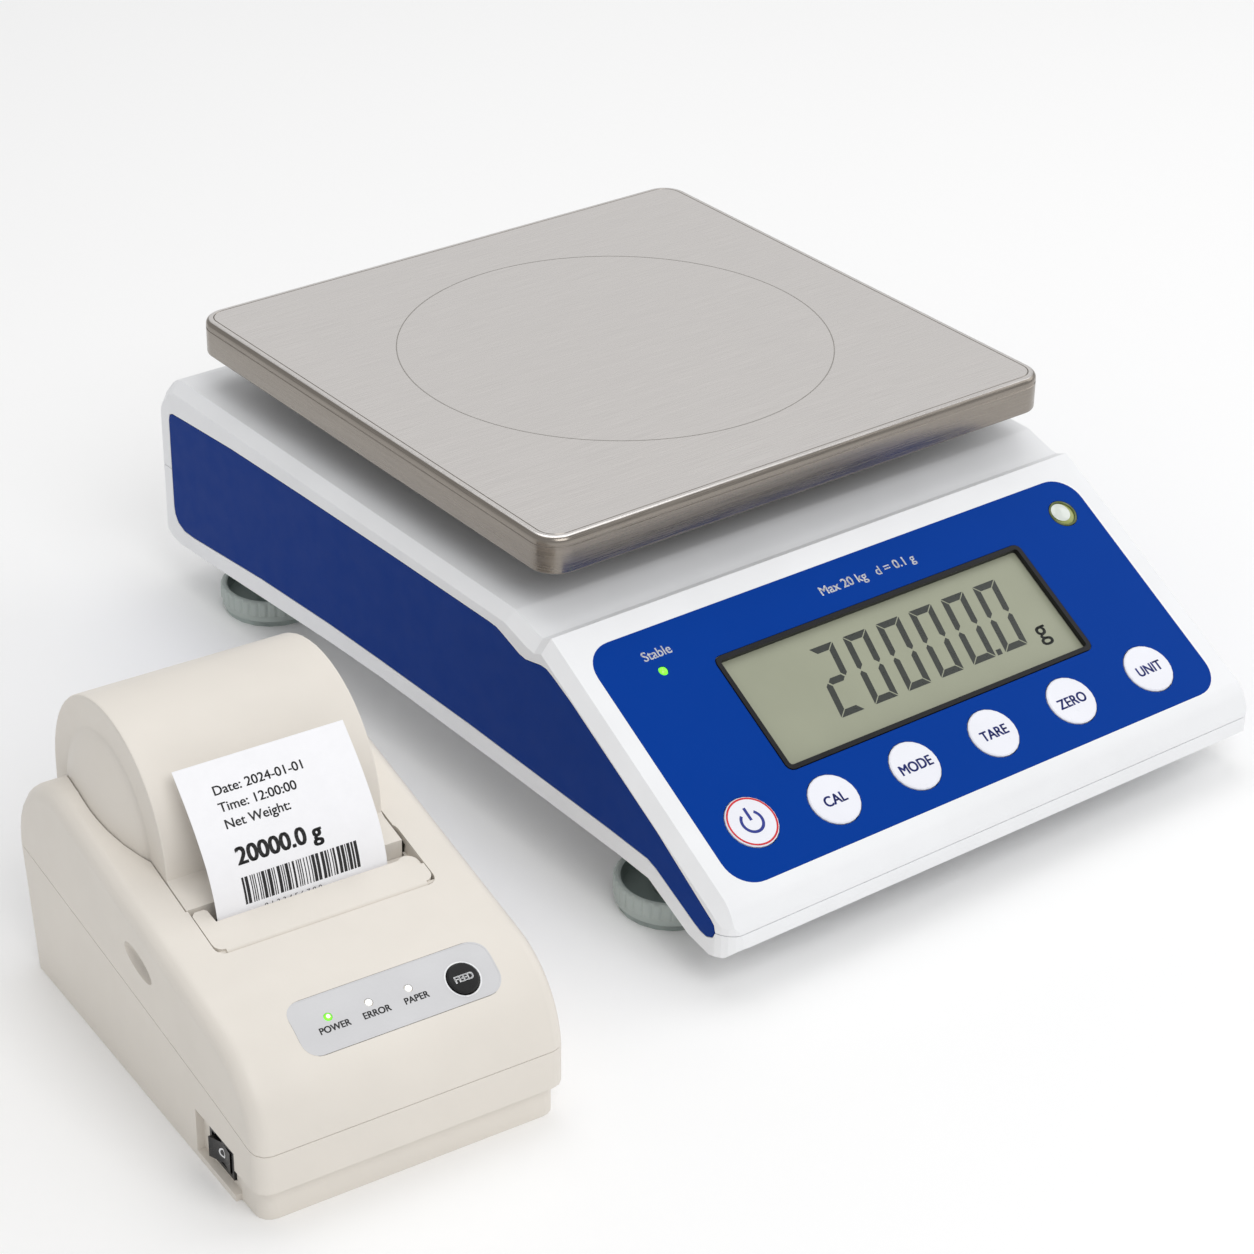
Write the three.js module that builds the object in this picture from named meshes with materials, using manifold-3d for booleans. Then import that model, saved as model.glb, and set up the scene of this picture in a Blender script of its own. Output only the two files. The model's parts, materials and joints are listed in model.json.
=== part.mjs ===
// Counter weighing scale with its separate label printer, as one set on one table.
// Millimetres, +Z up. The origin is on the table at the centre of the set's footprint.
import * as THREE from 'three';
import { mergeVertices } from 'three/addons/utils/BufferGeometryUtils.js';
import Module from 'manifold-3d';

const wasm = await Module();
wasm.setup();

// ---------------------------------------------------------------- driving dimensions

const GAP = 0.3;                    // clearance between neighbouring pieces
const FAR = 400;                    // longer than anything, for cutting tools

const SCALE_AT = [87.73, 50.48];      // centre of the pan on the table
const PRINTER_AT = [-154.97, -175.12];  // middle of the printer's front foot line
const PRINTER_TURN = -4.4;          // degrees about +Z

// scale
const PAN_SIDE = 220;
const PAN_TOP = 115;
const PAN_DEPTH = 13.3;
const PAN_SHEET = 1.5;
const PAN_CORNER = 10;
const PAN_EDGE_ROUND = 2.2;
const DECK_TOP = 87.1;
const CASE_HALF = 118.4;            // half of the casing's width
const CASE_REAR = 129.2;
const CASE_NOSE = -216.5;
const CASE_EDGE = 4;                // bevel between the top and the sides
const NOSE_CORNER = 9;              // rounding of the two front corners, seen from above
const CASE_WALL = 2.6;
const CASE_SIDE_WALL = 4;
const PANEL_TILT = 29.3;            // degrees below the horizontal
const PANEL_TOP = [-125, 81];       // y, z of the top line of the blue panel
const PANEL_WIDTH = 214.8;
const PANEL_LENGTH = 95.9;
const PANEL_CORNER = 10.5;
const PANEL_RECESS = 0.8;
const PANEL_SHEET = 0.5;
const SPLIT_REAR = 50;              // height of the casing's parting line at the back
const SPLIT_NOSE = 22.8;            // and at the nose
const INLAY_RECESS = 1.3;
const INLAY_SHEET = 1.0;
const DISPLAY = { u: 2.2, v: 41.8, width: 135.8, height: 46.8, rim: 1.7, corner: 2.8, depth: 9 };
const KEY = { radius: 9.3, below: 2.2, proud: 0.5 };
const KEY_PLACES = [                // u, v of each key on the panel
  ['power_key', -89.2, 76.4],
  ['calibrate_key', -57.4, 80],
  ['mode_key', -22.7, 80],
  ['tare_key', 12.2, 80],
  ['zero_key', 48, 80],
  ['unit_key', 84.6, 80],
];
const LAMP = { u: -84.8, v: 16.2, radius: 1.5 };
const VIAL = { u: 95.9, v: 13.6, radius: 5.3, below: 5 };
const FOOT = { radius: 19.4, top: 10.6, base: 2.1, band: 2.4, cup: 16.9, floor: 5.6, boss: 6.6 };
const STUD_RADIUS = 5;
const STUD_TOP = 38;
const FOOT_X = 96.8;
const FOOT_Y = { front: -161, rear: 86.2 };
const PAD = { radius: 18, height: 1.8 };
const CHASSIS = { half: 108, front: -172, rear: 100, bottom: 31, top: 34 };
const CELL = { half: 15, length: 130, bottom: 42.3, top: 64.3, travel: 0.6 };
const POST_RADIUS = 18;
const ARM_REACH = 80;               // pan bosses stand at x, y = plus or minus this

// printer, in its own frame: origin at the middle of the front foot line
const BODY_HALF = 51.5;
const BODY_FRONT = -2.6;
const BODY_REAR = 160.2;
const BODY_EDGE = 5;
const BODY_WALL = 2.5;
const BODY_BOTTOM = 11.4;
const PLINTH = { half: 49.5, corner: 5, length: 60 };
const TUB = { half: 46.4, front: 2.6, rear: 149.8, floor: 2.5 };
const SHELL_RADIUS = 32;            // front and rear roundings of the body's side outline
const SLOPE = 11.9;                 // degrees, the top of the body
const SLOPE_START = 49.3;           // height of the slope's line at y = 0
const SEAM = [[-30, 20.8], [24, 28.8], [72, 34.4], [190, 47.2]];  // y, z of the parting line
const DOME = { y: 120.6, z: 66.9, radius: 39.6, half: 36.5, wall: 2.2, edge: 0.8 };
const CHEEK = { radius: 30, height: 7.2 };
const LIP = { y: 68.4, drop: 6.5 };
const CREASE_Y = 79.3;
const FLAP = { x: 0.7, half: 36.5, front: 48.7, rear: 61, thick: 2.2, barrel: 1.5, pin: 0.75 };
const EAR = { inner: -30.4, tip: 66.8 };           // the flap's flat ear, on the left
const TONGUE = { x: 33.4, y: 59.2, radius: 3.5, drop: 0.8 };  // its rounded tongue, on the right
const POCKET = { half: 36.8, front: 48.4, depth: 5.6, floor: 1.5, wall: 1.8 };
const SLOT = { left: -30.3, right: 29.8, front: 56.5 };
const STICKER = { left: -29.3, right: 36.2, top: 11.5, bottom: 44, corner: 5.5, recess: 0.7, sheet: 0.4 };
const BUTTON = { x: 25, angle: 31.2, radius: 5, below: 4, proud: 0.8 };
const LAMPS = { x: [-18.3, -5, 8.1], angle: 26, radius: 1.1 };
const HINGE = { y: 160.6, z: 44, radius: 2.9, pin: 1.1, bore: 1.4 };
const ROLL = { y: 119, z: 56, radius: 32, bore: 10.3, left: -29, right: 27 };
const PLATEN = { y: 68.5, z: 50, radius: 6, half: 31, shaft: 2.5 };
const GEAR = { module: 0.8, left: 40, right: 44, backlash: 0.28 };
const TEETH = { platen: 24, idler: 32, pinion: 14 };
const IDLER_BEARING = 215;          // degrees in the y, z plane, from platen to idler
const PINION_BEARING = 205;         // from idler to pinion
const STRIP = { left: -29.5, right: 27.5, thick: 0.3 };
const SWITCH = { y: 24.8, z: 9.2, long: 15, tall: 10.5, face: -49.6, rim: 1.2, pivot: -46.7, lean: 8 };
const SWITCH_RECESS = { front: 13, rear: 37.6, low: 2.2, high: 17.4, depth: 2.6 };
const SOCKET_DEPTH = 3.5;

// ---------------------------------------------------------------- tools

const radians = THREE.MathUtils.degToRad;
const point = (x, y) => new THREE.Vector2(x, y);

function arc(x, y, radius, from, to, steps) {
  const points = [];
  for (let i = 0; i <= steps; i += 1) {
    const angle = radians(from + ((to - from) * i) / steps);
    points.push(point(x + radius * Math.cos(angle), y + radius * Math.sin(angle)));
  }
  return points;
}

// Moves every side of a counter-clockwise outline inwards.
function inset(points, distance) {
  return points.map((here, i) => {
    const before = points[(i + points.length - 1) % points.length];
    const after = points[(i + 1) % points.length];
    const arriving = here.clone().sub(before).normalize();
    const leaving = after.clone().sub(here).normalize();
    const first = point(-arriving.y, arriving.x);
    const second = point(-leaving.y, leaving.x);
    const reach = distance / (1 + first.dot(second));
    return here.clone().addScaledVector(first.add(second), reach);
  });
}

function roundedRectangle(width, height, radius, steps = 5) {
  const w = width / 2 - radius;
  const h = height / 2 - radius;
  return [
    ...arc(w, h, radius, 0, 90, steps),
    ...arc(-w, h, radius, 90, 180, steps),
    ...arc(-w, -h, radius, 180, 270, steps),
    ...arc(w, -h, radius, 270, 360, steps),
  ];
}

function prismZ(points, low, high, holes = []) {
  const shape = new THREE.Shape(points);
  shape.holes = holes.map((hole) => new THREE.Path(hole));
  const geometry = new THREE.ExtrudeGeometry(shape, { depth: high - low, bevelEnabled: false });
  return geometry.translate(0, 0, low);
}

// Outlines given as (y, z) run along x.
const ALONG_X = new THREE.Matrix4().makeBasis(
  new THREE.Vector3(0, 1, 0),
  new THREE.Vector3(0, 0, 1),
  new THREE.Vector3(1, 0, 0),
);

function prismX(points, left, right, holes = []) {
  return prismZ(points, left, right, holes).applyMatrix4(ALONG_X);
}

function roundedPrismX(points, half, edge, segments = 3) {
  const geometry = new THREE.ExtrudeGeometry(new THREE.Shape(points), {
    depth: 2 * (half - edge),
    bevelThickness: edge,
    bevelSize: edge,
    bevelOffset: -edge,
    bevelSegments: segments,
  });
  return geometry.translate(0, 0, edge - half).applyMatrix4(ALONG_X);
}

function box(low, high) {
  const size = high.map((value, i) => value - low[i]);
  const geometry = new THREE.BoxGeometry(...size);
  return geometry.translate(...low.map((value, i) => value + size[i] / 2));
}

// A turned piece about z from a closed profile of (radius, height) points.
function turned(profile, segments = 24) {
  return new THREE.LatheGeometry(profile.map(([r, z]) => point(r, z)), segments)
    .rotateX(Math.PI / 2);
}

function drum(radius, low, high, segments = 24) {
  return turned([[0, low], [radius, low], [radius, high], [0, high]], segments);
}

function drumX(radius, left, right, y, z, segments = 24) {
  return drum(radius, left, right, segments).applyMatrix4(ALONG_X).translate(0, y, z);
}

function pipe(outer, inner, low, high, segments = 24) {
  return turned([[inner, low], [outer, low], [outer, high], [inner, high], [inner, low]], segments);
}

function toSolid(geometry) {
  const bare = geometry.clone();
  bare.deleteAttribute('normal');
  bare.deleteAttribute('uv');
  const merged = mergeVertices(bare, 1e-4);
  const corners = merged.index.array;
  const kept = [];
  for (let i = 0; i < corners.length; i += 3) {
    const [a, b, c] = [corners[i], corners[i + 1], corners[i + 2]];
    if (a !== b && b !== c && c !== a) kept.push(a, b, c);
  }
  return new wasm.Manifold(new wasm.Mesh({
    numProp: 3,
    vertProperties: new Float32Array(merged.attributes.position.array),
    triVerts: new Uint32Array(kept),
  }));
}

function toGeometry(solid) {
  const mesh = solid.getMesh();
  const geometry = new THREE.BufferGeometry();
  geometry.setAttribute('position', new THREE.BufferAttribute(mesh.vertProperties, 3));
  geometry.setIndex(new THREE.BufferAttribute(mesh.triVerts, 1));
  geometry.computeVertexNormals();
  return geometry;
}

const joined = (...pieces) => pieces.map(toSolid).reduce((sum, next) => sum.add(next));
const cut = (solid, ...tools) => tools.reduce((left, tool) => left.subtract(toSolid(tool)), solid);
const kept = (solid, tool) => solid.intersect(toSolid(tool));

function mesh(name, shape, color, roughness, metalness = 0) {
  const geometry = shape.isBufferGeometry ? shape : toGeometry(shape);
  const material = new THREE.MeshStandardMaterial({ color, roughness, metalness });
  const piece = new THREE.Mesh(geometry, material);
  piece.name = name;
  return piece;
}

const COLOR = {
  whitePlastic: 0xe9e9e7,
  navy: 0x163a75,
  blue: 0x003f9a,
  steel: 0xb9b6b0,
  darkSteel: 0x6e7175,
  aluminium: 0xb4b7ba,
  black: 0x16171a,
  lcd: 0x9a9c88,
  keyWhite: 0xe6e8ee,
  green: 0x6fd02c,
  clear: 0xd6dfd2,
  footGrey: 0xb3bcb8,
  rubber: 0x2b2d2f,
  board: 0x1f5a36,
  cream: 0xded8ce,
  sticker: 0xd3d3d6,
  paper: 0xf1f1f4,
  cardboard: 0xa88b62,
  acetal: 0xe8e3d6,
  milky: 0xf0f0ee,
};

// ---------------------------------------------------------------- scale: casing

const panelSlope = Math.tan(radians(PANEL_TILT));
const panelHeight = (y) => PANEL_TOP[1] + (y - PANEL_TOP[0]) * panelSlope;

// The panel frame: x across, y up the slope, z out of the panel.
const PANEL_FRAME = new THREE.Matrix4()
  .makeTranslation(0, ...PANEL_TOP)
  .multiply(new THREE.Matrix4().makeRotationX(radians(PANEL_TILT)));
const onPanel = (geometry, u = 0, v = 0) => geometry.translate(u, -v, 0).applyMatrix4(PANEL_FRAME);

function casingOutline() {
  const crest = -117.8;
  return [
    point(CASE_NOSE, -30),
    point(CASE_REAR, -30),
    point(CASE_REAR, 72.5),
    point(CASE_REAR - 0.7, 75.8),
    point(CASE_REAR - 2.4, 78.6),
    point(CASE_REAR - 7.4, 84),
    point(CASE_REAR - 10.4, 86.2),
    point(CASE_REAR - 14, DECK_TOP),
    point(-97.2, DECK_TOP),
    point(-98.8, DECK_TOP - 0.3),
    point(-110.4, DECK_TOP - 3.7),
    point(-113.2, DECK_TOP - 4),
    point(-115.6, DECK_TOP - 3.1),
    point(crest, panelHeight(crest) + 0.1),
    point(crest - 2, panelHeight(crest - 2)),
    point(-209.4, panelHeight(-209.4)),
    point(-211.6, panelHeight(-211.6) - 0.7),
    point(-213.2, 29.6),
    point(-215.6, 24.6),
    point(CASE_NOSE, 20),
  ];
}

// The casing's underside, as the region that is kept.
function undersideRegion() {
  return [
    point(CASE_NOSE - 9, 17.5),
    point(CASE_NOSE + 0.4, 17.5),
    point(CASE_NOSE + 3.6, 14.4),
    point(-207.4, 13.6),
    point(-197, 15.5),
    point(-176, 25.3),
    point(-160, 25.9),
    point(-94, 26.4),
    point(-21, 26.3),
    point(11, 25.2),
    point(57, 22.5),
    point(97, 20.4),
    point(116, 19.5),
    point(121.4, 20.4),
    point(125.8, 23),
    point(128.4, 26.4),
    point(CASE_REAR, 31),
    point(CASE_REAR + 9, 31),
    point(CASE_REAR + 9, FAR),
    point(CASE_NOSE - 9, FAR),
  ];
}

function partingRegion(shift, ceiling) {
  const line = [[-FAR, SPLIT_NOSE], [-206, SPLIT_NOSE], [-176, 40], [-150, SPLIT_REAR], [FAR, SPLIT_REAR]];
  const edge = line.map(([y, z]) => point(y, z + shift));
  return [...edge, point(FAR, ceiling), point(-FAR, ceiling)];
}

function inlayOutline() {
  return [
    point(-203, 20.2), point(-199.6, 21.6), point(-179.8, 31.2), point(-175.4, 32.6),
    point(-155.6, 33.2), point(-75, 34), point(-21, 33.4), point(11, 32.8), point(57, 30.6),
    point(106, 26.6), point(112.6, 26.6), point(116.8, 28.4), point(118.8, 31.2), point(119.3, 34.6),
    point(119.3, 70.6), point(118.7, 72.8), point(116.8, 73.9), point(111, 74.3),
    point(75, 76.4), point(27.7, 77.6), point(-34, 78.7), point(-88, 79.2), point(-92.6, 79),
    point(-96.6, 77.8), point(-105.4, 74.8), point(-109, 74.4), point(-117.6, 76.2),
    point(-120.6, 76.2), point(-123.8, 75), point(-134, 70.2), point(-180.2, 44.6),
    point(-207.6, 27.2), point(-209.2, 25.4), point(-209.7, 23), point(-208.8, 20.9), point(-206, 19.8),
  ];
}

// The casing seen from above.
function planOutline() {
  const inner = CASE_HALF - NOSE_CORNER;
  const nose = CASE_NOSE + NOSE_CORNER;
  return [
    ...arc(-inner, nose, NOSE_CORNER, 180, 270, 6),
    ...arc(inner, nose, NOSE_CORNER, 270, 360, 6),
    point(CASE_HALF, CASE_REAR + 1),
    point(-CASE_HALF, CASE_REAR + 1),
  ];
}

function buildCasing() {
  const outline = casingOutline();
  const inner = inset(outline, CASE_WALL);
  const inside = CASE_HALF - CASE_SIDE_WALL;
  let shell = kept(toSolid(roundedPrismX(outline, CASE_HALF, CASE_EDGE, 1)),
    prismX(undersideRegion(), -CASE_HALF, CASE_HALF));
  shell = kept(shell, prismZ(planOutline(), 0, FAR));
  const cavity = kept(toSolid(prismX(inner, -inside, inside)),
    prismX(inset(undersideRegion(), CASE_WALL), -FAR, FAR));
  shell = shell.subtract(cavity);
  const recess = inset(inlayOutline(), -GAP);
  shell = cut(shell,
    prismX(recess, -CASE_HALF - 1, INLAY_RECESS - CASE_HALF),
    prismX(recess, CASE_HALF - INLAY_RECESS, CASE_HALF + 1));
  let top = kept(shell, prismX(partingRegion(GAP / 2, FAR), -FAR, FAR));
  let bottom = kept(shell, prismX(partingRegion(-GAP / 2, -FAR), -FAR, FAR));

  top = cut(top,
    drum(POST_RADIUS + 7, DECK_TOP - 10, DECK_TOP + 10, 32),
    onPanel(prismZ(roundedRectangle(PANEL_WIDTH + 2 * GAP, PANEL_LENGTH + 2 * GAP, PANEL_CORNER + GAP),
      -PANEL_RECESS, 5), 0, PANEL_LENGTH / 2),
    ...panelOpenings());

  const studHoles = footPlaces().map(({ x, y }) => drum(STUD_RADIUS + 1, 0, 45, 16).translate(x, y, 0));
  bottom = cut(bottom,
    ...studHoles,
    box([-60 - 7.3, 119, 34.2], [-60 + 7.3, 139, 45.8]),
    box([-20 - 16.1, 119, 33.2], [-20 + 16.1, 139, 46.6]));
  return { top, bottom };
}

// Cutting tools for everything that stands in the panel.
function panelOpenings() {
  const { u, v, width, height, corner, depth } = DISPLAY;
  const window = roundedRectangle(width + 2 * GAP, height + 2 * GAP, corner, 3);
  return [
    onPanel(prismZ(window, -depth, 5), u, v),
    onPanel(drum(LAMP.radius + GAP, -depth, 5, 12), LAMP.u, LAMP.v),
    onPanel(drum(VIAL.radius + GAP, -depth, 5), VIAL.u, VIAL.v),
    ...KEY_PLACES.map(([, keyU, keyV]) => onPanel(drum(KEY.radius + GAP, -depth, 5), keyU, keyV)),
  ];
}

function footPlaces() {
  return [
    { name: 'front_left', x: -FOOT_X, y: FOOT_Y.front },
    { name: 'front_right', x: FOOT_X, y: FOOT_Y.front },
    { name: 'rear_left', x: -FOOT_X, y: FOOT_Y.rear },
    { name: 'rear_right', x: FOOT_X, y: FOOT_Y.rear },
  ];
}

function sideInlays() {
  const outline = inlayOutline();
  const inner = CASE_HALF - INLAY_RECESS + GAP;
  const outer = inner + INLAY_SHEET;
  return [
    mesh('left_side_inlay', prismX(outline, -outer, -inner), COLOR.navy, 0.45),
    mesh('right_side_inlay', prismX(outline, inner, outer), COLOR.navy, 0.45),
  ];
}

// ---------------------------------------------------------------- scale: front panel

function frontOverlay() {
  const sheet = toSolid(onPanel(prismZ(
    roundedRectangle(PANEL_WIDTH, PANEL_LENGTH, PANEL_CORNER), GAP - PANEL_RECESS,
    GAP - PANEL_RECESS + PANEL_SHEET), 0, PANEL_LENGTH / 2));
  return mesh('front_overlay', cut(sheet, ...panelOpenings()), COLOR.blue, 0.4);
}

function display() {
  const { u, v, width, height, rim } = DISPLAY;
  const opening = roundedRectangle(width - 2 * rim, height - 2 * rim, 1, 2);
  const bezel = onPanel(prismZ(roundedRectangle(width, height, 2.5, 3), -1.8, 0.25, [opening]), u, v);
  const glass = onPanel(prismZ(roundedRectangle(width - 1.5, height - 1.5, 1, 1), -3.8, -2.1), u, v);
  return [
    mesh('display_bezel', bezel, COLOR.black, 0.4),
    mesh('display_glass', glass, COLOR.lcd, 0.15),
  ];
}

function keys() {
  const { radius, below, proud } = KEY;
  const profile = [[0, -below], [radius, -below], [radius, proud - 0.3], [radius - 0.4, proud], [0, proud]];
  return KEY_PLACES.map(([name, u, v]) => (
    mesh(name, onPanel(turned(profile, 24), u, v), COLOR.keyWhite, 0.4)));
}

function lampAndVial() {
  const lamp = turned([[0, -3], [LAMP.radius, -3], [LAMP.radius, 0], [LAMP.radius * 0.6, 0.5], [0, 0.7]], 12);
  const { radius, below } = VIAL;
  const vial = turned([[0, -below], [radius, -below], [radius, 0.1], [radius - 0.6, 0.5], [0, 0.5]], 24);
  return [
    mesh('stable_lamp', onPanel(lamp, LAMP.u, LAMP.v), COLOR.green, 0.3),
    mesh('level_vial', onPanel(vial, VIAL.u, VIAL.v), COLOR.clear, 0.1),
  ];
}

// ---------------------------------------------------------------- scale: weighing parts

function weighingPan() {
  const bottom = PAN_TOP - PAN_DEPTH;
  const shape = new THREE.Shape(roundedRectangle(PAN_SIDE, PAN_SIDE, PAN_CORNER, 6));
  const outer = new THREE.ExtrudeGeometry(shape, {
    depth: PAN_DEPTH + 8,
    bevelThickness: PAN_EDGE_ROUND,
    bevelSize: PAN_EDGE_ROUND,
    bevelOffset: -PAN_EDGE_ROUND,
    bevelSegments: 3,
  }).translate(0, 0, PAN_TOP - PAN_DEPTH - 8 - PAN_EDGE_ROUND);
  const inside = PAN_SIDE - 2 * PAN_SHEET;
  const body = cut(toSolid(outer),
    box([-FAR, -FAR, -FAR], [FAR, FAR, bottom]),
    prismZ(roundedRectangle(inside, inside, PAN_CORNER - PAN_SHEET, 3), 0, PAN_TOP - PAN_SHEET));
  return mesh('weighing_pan', body, COLOR.steel, 0.35, 1);
}

function panSupport() {
  const armLow = 95;
  const armTop = 103;
  const bossTop = PAN_TOP - PAN_SHEET - GAP;
  const reach = ARM_REACH * Math.SQRT2;
  const arms = [45, 135].map((turn) => box([-reach, -8, armLow], [reach, 8, armTop])
    .rotateZ(radians(turn)));
  const bosses = [[-1, -1], [1, -1], [-1, 1], [1, 1]].map(([sx, sy]) => (
    drum(10, armLow, bossTop, 16).translate(sx * ARM_REACH, sy * ARM_REACH, 0)));
  const beamTop = CELL.top + CELL.travel + GAP;
  const body = joined(
    ...arms,
    ...bosses,
    drum(POST_RADIUS, 68, armTop, 24),
    box([-CELL.half, -CELL.length / 2, 68], [CELL.half, 12, 74]),
    box([-CELL.half, -CELL.length / 2, beamTop], [CELL.half, -38, 69]));
  return mesh('pan_support', body, COLOR.aluminium, 0.5, 1);
}

function loadCell() {
  const half = CELL.length / 2;
  const middle = (CELL.bottom + CELL.top) / 2;
  const side = [point(-half, CELL.bottom), point(half, CELL.bottom), point(half, CELL.top), point(-half, CELL.top)];
  const window = [...arc(13, middle, 7, -90, 90, 5), ...arc(-13, middle, 7, 90, 270, 5)];
  const cell = prismX(side, -CELL.half, CELL.half, [window]);
  const block = box([-CELL.half, 36, CHASSIS.top + GAP], [CELL.half, half, CELL.bottom - GAP]);
  return [
    mesh('load_cell', cell, COLOR.aluminium, 0.35, 1),
    mesh('load_cell_block', block, COLOR.darkSteel, 0.5, 1),
  ];
}

function chassisPlate() {
  const { half, front, rear, bottom, top } = CHASSIS;
  const outline = [point(-half, front), point(half, front), point(half, rear), point(-half, rear)];
  const holes = footPlaces().map(({ x, y }) => arc(x, y, STUD_RADIUS + GAP + 0.05, 0, 337.5, 15));
  const lightening = [-1, 1].map((side) => roundedRectangle(56, 44, 8, 3)
    .map(({ x, y }) => point(x + side * 48, y - 112)));
  return mesh('chassis_plate', prismZ(outline, bottom, top, [...holes, ...lightening]),
    COLOR.darkSteel, 0.5, 1);
}

function electronics() {
  const boardTop = 38.1;
  return [
    mesh('main_board', box([32, -26, boardTop - 1.6], [104, 78, boardTop]), COLOR.board, 0.5),
    mesh('display_board', onPanel(box([-104, -88, -10.6], [88, -14, -9.0])), COLOR.board, 0.5),
    mesh('battery_pack', box([-104, -50, CHASSIS.top + GAP], [-34, 51, 79]), COLOR.black, 0.5),
    mesh('power_socket', socket([14, 18, 11], 3.2).translate(-60, 120.6, 40), COLOR.black, 0.4),
    mesh('data_socket', box([-20 - 15.8, 111.4, 33.5], [-20 + 15.8, 130.8, 46.3]), COLOR.darkSteel, 0.4, 1),
  ];
}

// A block with a round mouth in its rear face.
function socket([width, length, height], mouth) {
  const block = box([-width / 2, -length / 2, -height / 2], [width / 2, length / 2, height / 2]);
  const hole = drum(mouth, 0, length, 16).rotateX(-Math.PI / 2);
  return toGeometry(cut(toSolid(block), hole.translate(0, length / 2 - SOCKET_DEPTH, 0)));
}

function feet() {
  const { radius, top, base, band, cup, floor, boss } = FOOT;
  const profile = [
    [0, base], [radius - 1, base], [radius - 0.4, base + band], [radius, base + band + 0.3],
    [radius, top - 1], [radius - 0.7, top], [cup + 0.6, top], [cup, top - 0.7], [cup - 0.4, floor],
    [boss, floor], [boss, top - 2], [STUD_RADIUS, top - 2], [STUD_RADIUS, STUD_TOP], [0, STUD_TOP],
  ];
  return footPlaces().flatMap(({ name, x, y }) => [
    mesh(`foot_${name}`, turned(profile, 24).translate(x, y, 0), COLOR.footGrey, 0.5),
    mesh(`foot_pad_${name}`, drum(PAD.radius, 0, PAD.height, 20).translate(x, y, 0), COLOR.rubber, 0.8),
  ]);
}

// ---------------------------------------------------------------- printer: outlines

const slopeTan = Math.tan(radians(SLOPE));
const slopeHeight = (y) => SLOPE_START + y * slopeTan;

// Centre of an arc of SHELL_RADIUS that touches the slope's line, given its y.
const shellCentre = (y) => point(y, slopeHeight(y) - SHELL_RADIUS / Math.cos(radians(SLOPE)));
const FRONT_ARC = shellCentre(BODY_FRONT + SHELL_RADIUS);
const REAR_ARC = shellCentre(BODY_REAR - SHELL_RADIUS);

// The slope frame: x across, y up the slope from the line at y = 0, z out of the surface.
const SLOPE_FRAME = new THREE.Matrix4()
  .makeTranslation(0, 0, SLOPE_START)
  .multiply(new THREE.Matrix4().makeRotationX(radians(SLOPE)));
const onSlope = (geometry) => geometry.applyMatrix4(SLOPE_FRAME);
const along = (y) => y / Math.cos(radians(SLOPE));

// Puts a piece made about z on the front arc, pointing out of the shell.
function onFrontArc(geometry, x, angle) {
  return geometry.translate(0, 0, SHELL_RADIUS).rotateX(radians(angle))
    .translate(x, FRONT_ARC.x, FRONT_ARC.y);
}

function bodyOutline() {
  return [
    point(BODY_FRONT, -20),
    point(BODY_REAR - 8.8, -20),
    ...arc(REAR_ARC.x, REAR_ARC.y, SHELL_RADIUS, 0, 90 + SLOPE, 10),
    ...arc(FRONT_ARC.x, FRONT_ARC.y, SHELL_RADIUS, 90 + SLOPE, 180, 20),
  ];
}

function aboveSeam(shift, ceiling) {
  const edge = SEAM.map(([y, z]) => point(y, z + shift));
  const [front, rear] = [SEAM[0][0], SEAM[SEAM.length - 1][0]];
  return [...edge, point(rear, ceiling), point(front, ceiling)];
}

function hingeKnuckles(left, right, radius) {
  return [-1, 1].map((side) => drumX(radius, Math.min(side * left, side * right),
    Math.max(side * left, side * right), HINGE.y, HINGE.z, 16));
}

// ---------------------------------------------------------------- printer: base

function switchRecess() {
  const { front, rear, low, high, depth } = SWITCH_RECESS;
  return box([-60, front, low], [depth - BODY_HALF, rear, high]);
}

function printerBase() {
  const plinth = prismZ(roundedRectangle(2 * PLINTH.half, PLINTH.length, PLINTH.corner, 4), -1, BODY_BOTTOM)
    .translate(0, PLINTH.length / 2, 0);
  const undercut = cut(toSolid(box([-FAR, -FAR, -1], [FAR, SWITCH_RECESS.front, BODY_BOTTOM])), plinth);
  let body = kept(toSolid(roundedPrismX(bodyOutline(), BODY_HALF, BODY_EDGE)),
    prismX(aboveSeam(-GAP / 2, -FAR), -FAR, FAR));
  body = cut(body, box([-FAR, -FAR, -FAR], [FAR, FAR, 0]));
  body = body.subtract(undercut);
  const { half, front, rear, floor } = TUB;
  body = cut(body, box([-half, front, floor], [half, rear, 80]));
  const posts = [-33.3, 30.3].map((x) => box([x, ROLL.y - 8, floor - 1], [x + 3, ROLL.y + 8, ROLL.z + 3]));
  body = posts.reduce((sum, post) => sum.add(toSolid(post)), body);
  body = cut(body,
    drumX(4.35, -34, 34, ROLL.y, ROLL.z, 16),
    box([-34, ROLL.y - 4.35, ROLL.z], [34, ROLL.y + 4.35, ROLL.z + 20]));
  body = hingeKnuckles(20, 28, HINGE.radius).reduce((sum, part) => sum.add(toSolid(part)), body);
  body = cut(body,
    ...hingeKnuckles(11.2, 20, HINGE.radius + 0.4),
    drumX(HINGE.bore, -30, 30, HINGE.y, HINGE.z, 12),
    switchRecess(),
    box([-60, SWITCH.y - SWITCH.long / 2 - GAP, SWITCH.z - SWITCH.tall / 2 - GAP],
      [-40, SWITCH.y + SWITCH.long / 2 + GAP, SWITCH.z + SWITCH.tall / 2 + GAP]),
    box([-25 - 8.3, 140, 17.7], [-25 + 8.3, 170, 31.3]),
    box([15 - 7.3, 140, 17.7], [15 + 7.3, 170, 29.3]));
  return mesh('printer_base', body, COLOR.cream, 0.55);
}

// ---------------------------------------------------------------- printer: upper casing

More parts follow.
